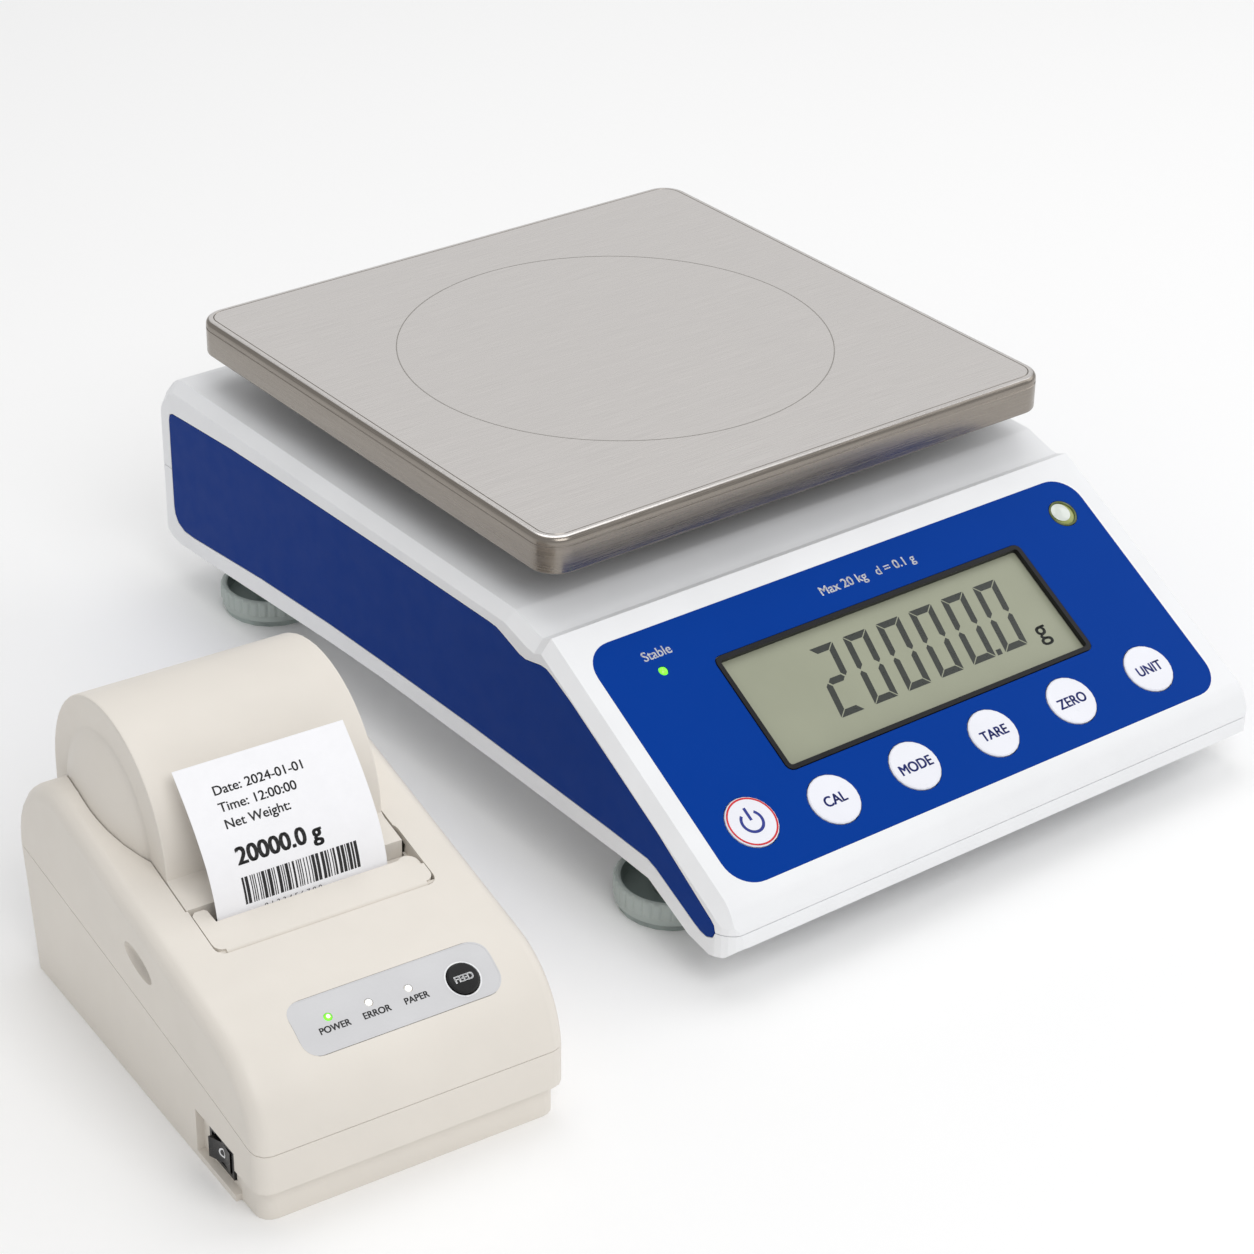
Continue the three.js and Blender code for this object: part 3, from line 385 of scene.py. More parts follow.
def printed_film(name, colour, rough=0.32, gloss=0.4, variation=0.03):
    """Polyester film with a fine satin texture."""
    s = Shader(name)
    where = s.place()
    s.colour(s.tint(s.noise(where, 40, 2), shade(colour, 1 - variation), shade(colour, 1 + variation)))
    s.roughness(s.remap(s.noise(where, 320, 3), rough - 0.03, rough + 0.05))
    s.bump(s.noise(where, 2600, 2), 0.12, 0.00003)
    s.bsdf.inputs["Specular IOR Level"].default_value = gloss
    return s.material


def brushed_steel(name, colour, along, rough=0.3, contrast=0.05):
    """Stainless steel with short fine lines; along is the share of each axis kept in the stretch."""
    s = Shader(name)
    fine = s.noise(s.place(tuple(2400 * share for share in along)), 1.0, 5, 0.7)
    faint = s.noise(s.place(tuple(500 * share for share in along)), 1.0, 3, 0.5)
    s.colour(s.tint(fine, shade(colour, 1 - contrast), shade(colour, 1 + contrast)))
    mixed = s.node("ShaderNodeMath", operation="ADD")
    s.link(s.remap(fine, -0.05, 0.06), mixed.inputs[0])
    s.link(s.remap(faint, rough - 0.04, rough + 0.05), mixed.inputs[1])
    s.roughness(mixed.outputs["Value"])
    s.bump(fine, 0.2, 0.00004)
    s.bsdf.inputs["Metallic"].default_value = 1.0
    return s.material


def plain_metal(name, colour, rough=0.35, scale=120):
    s = Shader(name)
    where = s.place()
    s.colour(s.tint(s.noise(where, scale, 4), shade(colour, 0.9), shade(colour, 1.08)))
    s.roughness(s.remap(s.noise(where, scale * 3, 4), rough - 0.06, rough + 0.1))
    s.bump(s.noise(where, scale * 8, 3), 0.15, 0.00004)
    s.bsdf.inputs["Metallic"].default_value = 1.0
    return s.material


def rubber(name, colour=(0.018, 0.018, 0.02)):
    s = Shader(name)
    where = s.place()
    s.colour(s.tint(s.noise(where, 60, 4), shade(colour, 0.8), shade(colour, 1.5)))
    s.roughness(s.remap(s.noise(where, 300, 4), 0.62, 0.8))
    s.bump(s.noise(where, 1500, 3), 0.3, 0.00006)
    return s.material


def paper(name, colour):
    s = Shader(name)
    where = s.place()
    s.colour(s.tint(s.noise(where, 150, 6, 0.7), shade(colour, 0.975), shade(colour, 1.01)))
    s.roughness(s.remap(s.noise(where, 500, 3), 0.55, 0.7))
    s.bump(s.noise(where, 900, 5, 0.7), 0.12, 0.00005)
    s.bsdf.inputs["Sheen Weight"].default_value = 0.1
    return s.material


def ink_or_shade(name, colour, rough=0.45):
    s = Shader(name)
    where = s.place()
    s.colour(s.tint(s.noise(where, 900, 3), shade(colour, 0.9), shade(colour, 1.1)))
    s.roughness(s.remap(s.noise(where, 400, 3), rough - 0.05, rough + 0.05))
    return s.material


def glowing(name, colour, strength, rough=0.2):
    """A lamp lens lit from behind; the unlit lamps use it too, for a faint painted glow."""
    s = Shader(name)
    where = s.place()
    s.colour(s.tint(s.noise(where, 500, 2), shade(colour, 0.9), shade(colour, 1.1)))
    s.roughness(s.remap(s.noise(where, 300, 2), rough, rough + 0.08))
    s.bsdf.inputs["Emission Color"].default_value = (*colour, 1)
    s.bsdf.inputs["Emission Strength"].default_value = strength
    s.bsdf.inputs["Coat Weight"].default_value = 0.5
    return s.material


ACROSS_PAN = (0.02, 1, 1)
ROUND_SKIRT = (0.02, 0.02, 1)

WHITE = moulded_plastic("white ABS", linear(240, 241, 243), rough=0.4, grain=0.2)
CREAM = moulded_plastic("cream ABS", linear(229, 223, 214), rough=0.46, grain=0.32, grain_size=1300)
NAVY = moulded_plastic("navy inlay", linear(6, 52, 132), 0.42, 0.3, variation=0.01, gloss=0.05)
BLUE_FILM = printed_film("blue overlay film", linear(0, 58, 150), rough=0.36, gloss=0.05, variation=0.01)
KEY_FACE = printed_film("key face", linear(238, 239, 246), rough=0.3)
BLACK_GLOSS = moulded_plastic("black moulding", (0.008, 0.008, 0.009), rough=0.26, grain=0.12)
BEZEL = moulded_plastic("black window frame", (0.006, 0.006, 0.008), rough=0.35, grain=0.1, gloss=0.3)
STEEL = brushed_steel("brushed pan steel", linear(224, 220, 217), ACROSS_PAN, rough=0.26, contrast=0.06)
# The pan's sides and other faces that do not look up are painted darker than its top: painted shade.
SKIRT_STEEL_PAINTED_SHADE = brushed_steel(
    "brushed skirt steel with painted shade", linear(148, 141, 133), ROUND_SKIRT, rough=0.25, contrast=0.12
)
PLATED = plain_metal("zinc plate", (0.55, 0.56, 0.58))
SPINDLE = plain_metal("ground steel", (0.6, 0.6, 0.62), rough=0.22, scale=300)
ALLOY = plain_metal("cast aluminium", (0.6, 0.61, 0.62), rough=0.45)
MOTOR = plain_metal("motor can", (0.32, 0.33, 0.35), rough=0.4)
RUBBER = rubber("black rubber")
PAD_RUBBER = rubber("grey pad rubber", linear(150, 160, 157))
PAPER = paper("label paper", linear(247, 247, 250))
CARDBOARD = paper("wound board", linear(172, 140, 96))
ACETAL = moulded_plastic("acetal", linear(232, 227, 212), rough=0.35, grain=0.1)
STICKER = printed_film("grey sticker film", linear(210, 210, 212), rough=0.38)
LCD = printed_film("liquid crystal cell", linear(158, 161, 141), rough=0.22, gloss=0.3)
LCD_INK = ink_or_shade("lit segments", linear(50, 54, 50), rough=0.3)
INK_BLUE = ink_or_shade("key blue", linear(24, 44, 138))
INK_RED = ink_or_shade("ring red", linear(208, 30, 42))
INK_WHITE = ink_or_shade("white print", linear(244, 246, 250))
# Black for print, and for the cross recesses of the screw heads, where it is painted shade.
BLACK_PRINT_AND_SHADE = ink_or_shade("black print and painted shade", linear(20, 20, 22))
# Grey for thin lines of painted shade: the pan's scribed groove and the gaps between the roll's turns.
LINE_SHADE_PAINT = ink_or_shade("painted shade line", linear(142, 138, 133))
GREEN_LAMP = glowing("green lamp", (0.18, 0.8, 0.03), 1.0)
LAMP_HEART = glowing("lamp heart", (0.75, 1.0, 0.55), 1.6)
# The unlit error and paper lamps glow faintly: painted light.
UNLIT_LAMP_PAINTED_GLOW = glowing("unlit lamp with painted glow", (0.95, 0.95, 0.93), 0.4)
FOOT = moulded_plastic("foot nylon", linear(178, 187, 183), rough=0.4, grain=0.12, variation=0.03)
# Darker nylon inside the feet's cups: painted shade.
FOOT_CUP_PAINTED_SHADE = moulded_plastic("foot cup painted shade", linear(120, 132, 128), rough=0.45, grain=0.12)
BOARD = moulded_plastic("circuit board", linear(24, 96, 52), rough=0.3, grain=0.2, variation=0.15)
BATTERY = moulded_plastic("battery case", linear(44, 44, 48), rough=0.5)
VIAL_FLUID = printed_film("vial liquid", linear(150, 158, 88), rough=0.18, gloss=0.6)
VIAL_SHADE = printed_film("vial wall", linear(98, 108, 62), rough=0.25)
BUBBLE = printed_film("vial bubble", linear(214, 220, 214), rough=0.12, gloss=0.8)

CAD_MATERIALS = {
    "weighing_pan": STEEL,
    "pan_support": ALLOY,
    "load_cell": ALLOY,
    "load_cell_block": PLATED,
    "chassis_plate": PLATED,
    "top_casing": WHITE,
    "bottom_casing": WHITE,
    "left_side_inlay": NAVY,
    "right_side_inlay": NAVY,
    "front_overlay": BLUE_FILM,
    "display_bezel": BEZEL,
    "display_glass": LCD,
    "power_key": KEY_FACE,
    "calibrate_key": KEY_FACE,
    "mode_key": KEY_FACE,
    "tare_key": KEY_FACE,
    "zero_key": KEY_FACE,
    "unit_key": KEY_FACE,
    "stable_lamp": GREEN_LAMP,
    "level_vial": FOOT,
    "main_board": BOARD,
    "display_board": BOARD,
    "battery_pack": BATTERY,
    "power_socket": BLACK_GLOSS,
    "data_socket": PLATED,
    "foot_front_left": FOOT,
    "foot_front_right": FOOT,
    "foot_rear_left": FOOT,
    "foot_rear_right": FOOT,
    "foot_pad_front_left": PAD_RUBBER,
    "foot_pad_front_right": PAD_RUBBER,
    "foot_pad_rear_left": PAD_RUBBER,
    "foot_pad_rear_right": PAD_RUBBER,
    "printer_base": CREAM,
    "printer_casing": CREAM,
    "roll_cover": CREAM,
    "cover_hinge_pin": SPINDLE,
    "head_flap": CREAM,
    "control_sticker": STICKER,
    "feed_button": BLACK_GLOSS,
    "power_lamp": GREEN_LAMP,
    "error_lamp": UNLIT_LAMP_PAINTED_GLOW,
    "paper_lamp": UNLIT_LAMP_PAINTED_GLOW,
    "switch_bezel": BLACK_GLOSS,
    "rocker_switch": BLACK_GLOSS,
    "interface_socket": PLATED,
    "supply_socket": BLACK_GLOSS,
    "label_roll": PAPER,
    "roll_core": CARDBOARD,
    "label_strip": PAPER,
    "print_head": MOTOR,
    "tear_bar": SPINDLE,
    "platen_roller": RUBBER,
    "platen_shaft": SPINDLE,
    "platen_gear": ACETAL,
    "idler_gear": ACETAL,
    "motor_pinion": ACETAL,
    "stepper_motor": MOTOR,
    "mechanism_frame": PLATED,
    "printer_board": BOARD,
}

WELD_REACH = 2e-6  # metres
FLAT_BEND = math.radians(0.4)
SPLIT_BEND = math.radians(36)

# Edge roundings in millimetres, and the sharpest bend that is left alone, in degrees.
SOFT_EDGES = {
    "top_casing": (0.9, 12),
    "bottom_casing": (0.9, 12),
    "printer_casing": (0.3, 38),
    "roll_cover": (0.4, 30),
    "printer_base": (0.3, 38),
    "head_flap": (0.3, 38),
}


def dress_cad(name, obj):
    """Gives a CAD node its material, smooth shading and small edge roundings."""
    obj.data.materials.clear()
    obj.data.materials.append(CAD_MATERIALS[name])
    for face in obj.data.polygons:
        face.use_smooth = True
    weld = obj.modifiers.new("weld", "WELD")
    weld.merge_threshold = WELD_REACH
    if name in SOFT_EDGES:
        flat = obj.modifiers.new("flat faces", "DECIMATE")
        flat.decimate_type = "DISSOLVE"
        flat.angle_limit = FLAT_BEND
        soft = obj.modifiers.new("soft edges", "BEVEL")
        width, bend = SOFT_EDGES[name]
        soft.width = width * 0.001
        soft.segments = 3
        soft.limit_method = "ANGLE"
        soft.angle_limit = math.radians(bend)
        soft.use_clamp_overlap = True
        soft.harden_normals = False
    split = obj.modifiers.new("hard edges", "EDGE_SPLIT")
    split.split_angle = SPLIT_BEND
    even = obj.modifiers.new("even shading", "WEIGHTED_NORMAL")
    even.keep_sharp = True
    even.weight = 60


for node_name, node_object in nodes.items():
    dress_cad(node_name, node_object)

# ---------------------------------------------------------------- scale: pan

PAN_SIDE = 220
PAN_DEPTH = 13.3
PAN_SHEET = 1.5
PAN_CORNER = 10
PAN_EDGE = 2.2
PAN_GROOVE = 3.0  # a fine line pressed round the top, this far in from the side
CIRCLE_RADIUS = 79


def pan_outline(inset, z):
    side = PAN_SIDE - 2 * inset
    return [(x, y, z) for x, y in rounded_rectangle(side, side, max(PAN_CORNER - inset, 1.0), steps=10)]


def weighing_pan():
    """The pressed cover: brushed top, rolled edge with its crease, and a skirt all round; faces that do not look
    up get the darker steel as painted shade.
    """
    top = PAN_HEIGHT
    bottom = top - PAN_DEPTH
    rings = [
        pan_outline(PAN_SHEET, bottom),
        pan_outline(0.35, bottom),
        pan_outline(0.1, bottom + 0.15),
        pan_outline(0.0, bottom + 0.5),
        pan_outline(0.0, top - PAN_EDGE - 1.4),
        pan_outline(0.25, top - PAN_EDGE - 1.2),
        pan_outline(0.25, top - PAN_EDGE - 0.8),
        pan_outline(0.0, top - PAN_EDGE - 0.6),
    ]
    for i in range(1, 7):
        angle = math.pi / 2 * i / 6
        rings.append(
            pan_outline(PAN_EDGE * (1 - math.cos(angle)), top - PAN_EDGE * (1 - math.sin(angle)))
        )
    rings += [
        pan_outline(PAN_GROOVE - 0.2, top),
        pan_outline(PAN_GROOVE, top - 0.25),
        pan_outline(PAN_GROOVE + 0.2, top),
    ]
    rings.append(pan_outline(PAN_GROOVE + 4, top))
    shell = loft(rings, close_ends=False)
    shell.verts.ensure_lookup_table()
    count = len(rings[0])
    outer_top = shell.verts[-count:]
    shell.faces.new(list(outer_top))
    inner = [
        pan_outline(PAN_SHEET, bottom),
        pan_outline(PAN_SHEET, top - PAN_SHEET - 1),
        pan_outline(PAN_SHEET + 1, top - PAN_SHEET),
    ]
    liner = loft(inner, close_ends=False)
    liner.verts.ensure_lookup_table()
    liner.faces.new(list(reversed(liner.verts[-count:])))
    for face in liner.faces:
        face.normal_flip()
    join_into(shell, liner)
    bmesh.ops.remove_doubles(shell, verts=shell.verts, dist=0.001)
    pan = add_piece("pan_cover", shell, SCALE, "pan", STEEL, smooth=50)
    # Faces that do not look up, the skirt, the outer rolled edge and the groove walls, take the darker steel:
    # painted shade.
    pan.data.materials.append(SKIRT_STEEL_PAINTED_SHADE)
    for face in pan.data.polygons:
        if face.normal.z < 0.8:
            face.material_index = 1
    hide_behind(pan, "weighing_pan")


def pan_ring():
    """The fine circle scribed on the pan, drawn as a flat grey ring of painted shade where its groove lies."""
    artwork = annulus(CIRCLE_RADIUS - 0.2, CIRCLE_RADIUS + 0.2, steps=160)
    place = SCALE @ Matrix.Translation((0, 0, PAN_HEIGHT + 0.02))
    return print_or_shade_piece("pan_scribed_circle_shade", artwork, place, "pan", LINE_SHADE_PAINT)


weighing_pan()
pan_ring()

# ---------------------------------------------------------------- scale: display

LCD_DEPTH = -2.1  # face of the cell below the panel
DIGIT_LEFT = -34.6
DIGIT_PITCH = 14.7
DIGIT_WIDTH = 10.2
DIGIT_TOP = 26.9  # distances down the panel
DIGIT_BOTTOM = 53.9
DIGIT_LEAN = math.tan(math.radians(9.8))
STROKE = 2.5
SEGMENT_GAP = 0.26
DOT_SIZE = 2.2
UNIT_U = 57.2  # middle of the unit's letter
SEGMENTS_OF = {"2": "abged", "0": "abcdef"}


def segment_outline(key):
    """Outline of one bar of a seven-segment digit, x right and y up from the lower left corner."""
    w, h, t, g = DIGIT_WIDTH, DIGIT_BOTTOM - DIGIT_TOP, STROKE, SEGMENT_GAP
    half = h / 2
    bars = {
        "a": [(g, h), (w - g, h), (w - t - g, h - t), (t + g, h - t)],
        "d": [(g, 0), (t + g, t), (w - t - g, t), (w - g, 0)],
        "g": [
            (t * 0.55 + g, half),
            (t + g, half + t / 2),
            (w - t - g, half + t / 2),
            (w - t * 0.55 - g, half),
            (w - t - g, half - t / 2),
            (t + g, half - t / 2),
        ],
        "f": [(0, h - g), (t, h - t - g), (t, half + t * 0.7), (t * 0.4, half + g), (0, half + t * 0.5)],
        "b": [
            (w, h - g),
            (w, half + t * 0.5),
            (w - t * 0.4, half + g),
            (w - t, half + t * 0.7),
            (w - t, h - t - g),
        ],
        "e": [(0, g), (0, half - t * 0.5), (t * 0.4, half - g), (t, half - t * 0.7), (t, t + g)],
        "c": [
            (w, g),
            (w - t, t + g),
            (w - t, half - t * 0.7),
            (w - t * 0.4, half - g),
            (w, half - t * 0.5),
        ],
    }
    return bars[key]


def display_digits():
    artwork = bmesh.new()
    reading = "200000"
    for place_number, digit in enumerate(reading):
        left = DIGIT_LEFT + place_number * DIGIT_PITCH
        for key in SEGMENTS_OF[digit]:
            points = [(left + x + y * DIGIT_LEAN, y - DIGIT_BOTTOM) for x, y in segment_outline(key)]
            join_into(artwork, polygon(points))
    dot = DIGIT_LEFT + 4 * DIGIT_PITCH + DIGIT_WIDTH + 0.9
    lean = DOT_SIZE * DIGIT_LEAN
    points = [(dot, 0), (dot + DOT_SIZE, 0), (dot + DOT_SIZE + lean, DOT_SIZE), (dot + lean, DOT_SIZE)]
    join_into(artwork, polygon([(x, y - DIGIT_BOTTOM) for x, y in points]))
    unit = letter_mesh("g", 8.4, bold=0.25)
    unit.transform(Matrix.Translation((UNIT_U, -DIGIT_BOTTOM - 0.6, 0)))
    join_into(artwork, unit)
    bmesh.ops.recalc_face_normals(artwork, faces=artwork.faces)
    for vert in artwork.verts:
        vert.co.z = LCD_DEPTH + INK
    return print_or_shade_piece("display_digits", artwork, PANEL, "root", LCD_INK)


display_digits()

# ---------------------------------------------------------------- scale: keys and legends

KEY_TOP = 0.5
KEY_RADIUS = 9.3
KEYS = [
    ("power_key", -89.2, 76.4, ""),
    ("calibrate_key", -57.4, 80, "CAL"),
    ("mode_key", -22.7, 80, "MODE"),
    ("tare_key", 12.2, 80, "TARE"),
    ("zero_key", 48, 80, "ZERO"),
    ("unit_key", 84.6, 80, "UNIT"),
]
FILM_TOP = 0.0  # the overlay lies flush with the casing
PANEL_WIDTH = 214.8
PANEL_LENGTH = 95.9
PANEL_CORNER = 10.5


def power_symbol():
    """A broken ring with a bar in its gap."""
    symbol = annulus(3.3, 4.35, 130, 410, 48)
    join_into(symbol, grid_rectangle(-0.55, 0.5, 0.55, 5.3))
    return symbol


def key_legends():
    for body, u, v, words in KEYS:
        place = PANEL @ Matrix.Translation((u, -v, KEY_TOP + INK))
        if words:
            artwork = letter_mesh(words, 3.9, bold=0.3, narrow=0.9)
            artwork.transform(Matrix.Translation((0, -1.95, 0)))
            print_or_shade_piece(body + "_legend", artwork, place, body, INK_BLUE)
            continue
        print_or_shade_piece("power_key_symbol", power_symbol(), place, body, INK_BLUE)
        ring = annulus(KEY_RADIUS - 1.05, KEY_RADIUS - 0.41, steps=72)
        print_or_shade_piece("power_key_ring", ring, place, body, INK_RED)


def panel_words(name, words, cap, u, v, bold=0.0, narrow=1.0):
    """Words printed on the overlay, centred at u, v."""
    artwork = letter_mesh(words, cap, bold=bold, narrow=narrow)
    artwork.transform(Matrix.Translation((u, -v - cap / 2, FILM_TOP + INK)))
    print_or_shade_piece(name, artwork, PANEL, "root", INK_WHITE)


def frame_ring(inner, outer, low, high):
    """A closed ring between two outlines that have the same number of points."""
    rings = [
        [(x, y, low) for x, y in inner],
        [(x, y, low) for x, y in outer],
        [(x, y, high) for x, y in outer],
        [(x, y, high) for x, y in inner],
    ]
    return loft(rings, closed_loop=True)


def overlay_border():
    """The overlay's edge, where it is pressed into its recess."""
    inner = rounded_rectangle(PANEL_WIDTH - 0.2, PANEL_LENGTH - 0.2, PANEL_CORNER, steps=10)
    outer = rounded_rectangle(PANEL_WIDTH + 0.5, PANEL_LENGTH + 0.5, PANEL_CORNER, steps=10)
    place = PANEL @ Matrix.Translation((0, -PANEL_LENGTH / 2, 0))
    add_piece("overlay_border", frame_ring(inner, outer, -0.7, 0.04), place, "root", BLUE_FILM)


overlay_border()
key_legends()
panel_words("stable_legend", "Stable", 3.7, -83.2, 9.2, bold=0.12, narrow=0.95)
panel_words("capacity_legend", "Max 20 kg   d = 0.1 g", 3.6, 7.5, 9.2, bold=0.15)

# ---------------------------------------------------------------- scale: level vial

VIAL_U = 95.9
VIAL_V = 13.6
VIAL_RADIUS = 5.3
VIAL_BOTTOM = -4.8
BUBBLE_SHIFT = (-0.8, 0.6, 0)


def level_vial():
    """A round bubble level let into the panel: dark cup, liquid and bubble."""
    place = PANEL @ Matrix.Translation((VIAL_U, -VIAL_V, 0))
    cup = [(0, VIAL_BOTTOM), (VIAL_RADIUS, VIAL_BOTTOM), (VIAL_RADIUS, 0.1)]
    cup += [(VIAL_RADIUS - 0.3, 0.3), (VIAL_RADIUS - 0.7, 0.1)]
    cup += [(VIAL_RADIUS - 1, -2.2), (VIAL_RADIUS - 2, -3.0), (0, -3.2)]
    case = add_piece("vial_cup", turned(cup, 48), place, "root", VIAL_SHADE)
    hide_behind(case, "level_vial")
    liquid = turned([(0, -3.1), (3, -2.9), (4.2, -2.1), (4.45, -0.3), (3.4, 0.1), (0, 0.25)], 48)
    add_piece("vial_liquid", liquid, place, "root", VIAL_FLUID)
    bubble = turned([(0, 0.1), (3.5, 0.12), (3.7, 0.22), (3.0, 0.5), (1.6, 0.72), (0, 0.8)], 48)
    add_piece("vial_bubble", moved(bubble, Matrix.Translation(BUBBLE_SHIFT)), place, "root", BUBBLE)


level_vial()

# ---------------------------------------------------------------- scale: feet

RIBS = 34
RIB_STEPS = 8  # points to a rib
CUP_INNER = 6.4  # the open cup lies between these radii
CUP_OUTER = 16.95
CUP_LOWEST = 0.004  # metres


def knurled_foot(name):
    """A screw foot with a ribbed rim and an open cup, as moulded nylon adjusters have; the inside of the cup is
    painted darker, as shade.
    """
    low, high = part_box(name)
    middle = (low + high) / 2
    place = Matrix.Translation((middle.x, middle.y, 0)) @ MM
    steps = RIBS * RIB_STEPS

    def rib(i):
        """Flat pads with a narrow groove between them."""
        part = i % RIB_STEPS
        return -0.55 if part == 0 else -0.28 if part in (1, RIB_STEPS - 1) else 0.0

    rings = [
        circle(0.001, 2.1, steps),
        circle(18.4, 2.1, steps),
        circle(18.9, 2.5, steps),
        circle(18.9, 4.4, steps),
        circle(19.1, 4.7, steps),
        circle(19.4, 4.9, steps, rib),
        circle(19.4, 9.4, steps, rib),
        circle(19.2, 10.0, steps, rib),
        circle(18.6, 10.5, steps),
        circle(17.6, 10.6, steps),
        circle(16.9, 10.1, steps),
        circle(16.5, 5.6, steps),
        circle(6.6, 5.6, steps),
        circle(6.5, 8.3, steps),
        circle(6.1, 8.6, steps),
        circle(5.1, 8.6, steps),
        circle(5.0, 30.0, steps),
        circle(4.6, 37.6, steps),
        circle(0.001, 37.8, steps),
    ]
    made = add_piece(name + "_knurled", loft(rings), place, name, FOOT, smooth=40)
    # The faces inside the cup take the darker nylon: painted shade.
    made.data.materials.append(FOOT_CUP_PAINTED_SHADE)
    for face in made.data.polygons:
        centre = face.center - place.translation
        reach = math.hypot(centre.x, centre.y) * 1000
        if CUP_INNER < reach < CUP_OUTER and centre.z > CUP_LOWEST:
            face.material_index = 1
    hide_behind(made, name)
    return made


for foot_name in ("foot_front_left", "foot_front_right", "foot_rear_left", "foot_rear_right"):
    knurled_foot(foot_name)

# ---------------------------------------------------------------- printer: label

LABEL_LEFT = -29.5
LABEL_RIGHT = 27.5
LABEL_THICK = 0.22
LABEL_PATH = [
    (62.05, 47.0),
    (62.05, 54.0),
    (62.1, 61.0),
    (64.2, 69.0),
    (68.6, 77.6),
    (77.0, 88.2),
    (88.0, 98.9),
]


def spline(points, per_span=12):
    """Catmull-Rom curve through the points."""
    ends = [points[0], *points, points[-1]]
    made = []
    for i in range(1, len(ends) - 2):
        p0, p1, p2, p3 = (Vector(p) for p in ends[i - 1 : i + 3])
        for j in range(per_span):
            t = j / per_span
            made.append(
                0.5
                * (
                    2 * p1
                    + (p2 - p0) * t
                    + (2 * p0 - 5 * p1 + 4 * p2 - p3) * t * t
                    + (3 * p1 - p0 - 3 * p2 + p3) * t * t * t
                )
            )
    made.append(Vector(points[-1]))
    return made


label_line = spline(LABEL_PATH)
label_reach = [0.0]
for here, there in zip(label_line, label_line[1:]):
    label_reach.append(label_reach[-1] + (there - here).length)
LABEL_END = label_reach[-1]


def label_surface(x, s, lift):
    """Point at x across and s along the label from its lower end, lifted off its printed side."""
    index = 0
    while index < len(label_reach) - 2 and label_reach[index + 1] < s:
        index += 1
    start, end = label_line[index], label_line[index + 1]
    along = end - start
    t = (s - label_reach[index]) / along.length
    spot = start + along * t
    normal = Vector((-along.y, along.x)).normalized()
    spot += normal * lift
    return (x, spot.x, spot.y)


def label_sheet():
    steps = 60
    rings = []
    for i in range(steps + 1):
        s = LABEL_END * i / steps
        rings.append(
            [
                label_surface(LABEL_LEFT, s, 0),
                label_surface(LABEL_RIGHT, s, 0),
                label_surface(LABEL_RIGHT, s, LABEL_THICK),
                label_surface(LABEL_LEFT, s, LABEL_THICK),
            ]
        )
    made = add_piece("printed_label", loft(rings), PRINTER, "lid", PAPER, smooth=40)
    hide_behind(made, "label_strip")


def label_words(name, words, cap, left, down, bold=0.0, narrow=1.0):
    """Words with their left end and baseline measured from the label's upper left corner."""
    artwork = letter_mesh(words, cap, bold=bold, align="LEFT", narrow=narrow)
    lay(artwork, label_surface, LABEL_LEFT + left, LABEL_END - down, LABEL_THICK + INK)
    print_or_shade_piece(name, artwork, PRINTER, "lid", BLACK_PRINT_AND_SHADE)


def bar_pattern(left, right):
    """Alternating bars of one to three units, always the same."""
    widths = random.Random(7)
    unit = 0.34
    x = left
    bars = []
    while x < right - 3 * unit:
        bar = unit * widths.choice((1, 1, 2, 3))
        bars.append((x, min(x + bar, right)))
        x += bar + unit * widths.choice((1, 1, 2))
    return bars


BARS = (9.7, 49.0)
BARS_TOP = 36.0
BARS_BOTTOM = 44.3


def label_print():
    label_words("label_date", "Date: 2024-01-01", 3.0, 9.6, 10.6, bold=0.14, narrow=1.04)
    label_words("label_time", "Time: 12:00:00", 3.0, 9.6, 15.9, bold=0.14, narrow=1.04)
    label_words("label_heading", "Net Weight:", 3.0, 9.6, 21.1, bold=0.14, narrow=1.04)
    label_words("label_weight", "20000.0 g", 5.4, 9.9, 32.2, bold=0.5, narrow=0.97)
    label_words("label_number", "0 1 2 3 4 5 6 7 8 9", 1.7, 15.5, 47.4, narrow=1.1)
    bars = bmesh.new()
    for left, right in bar_pattern(*BARS):
        join_into(bars, grid_rectangle(left, -BARS_BOTTOM, right, -BARS_TOP, rows=10))
    lay(bars, label_surface, LABEL_LEFT, LABEL_END, LABEL_THICK + INK)
    print_or_shade_piece("label_bars", bars, PRINTER, "lid", BLACK_PRINT_AND_SHADE)


label_sheet()
label_print()

# ---------------------------------------------------------------- printer: control sticker

LAMP_ANGLE = 26
LAMP_X = (-18.3, -5, 8.1)
LAMP_LEGENDS = (("POWER", -17.8), ("ERROR", -4.1), ("PAPER", 9.0))
LEGEND_DROP = 4.6  # baseline below the lamps, along the curve
BUTTON_X = 25
BUTTON_ANGLE = 31.2
BUTTON_RADIUS = 5
BUTTON_PROUD = 0.8
STICKER_LEFT = -29.3
STICKER_RIGHT = 36.2
STICKER_FROM = 11.5
STICKER_TO = 44
STICKER_CORNER = 5.5


def arc_surface(x, y, lift):
    """Point on the printer's rounded front; y runs up the curve from the lamps' line."""
    angle = math.radians(LAMP_ANGLE) - y / ARC_RADIUS
    reach = ARC_RADIUS + lift
    return (x, ARC_Y - reach * math.sin(angle), ARC_Z + reach * math.cos(angle))


def fine_outline(points, parts=12):
    """Adds points along every side, so that the outline can follow a curve."""
    made = []
    for here, there in zip(points, points[1:] + points[:1]):
        for i in range(parts):
            t = i / parts
            made.append((here[0] + (there[0] - here[0]) * t, here[1] + (there[1] - here[1]) * t))
    return made


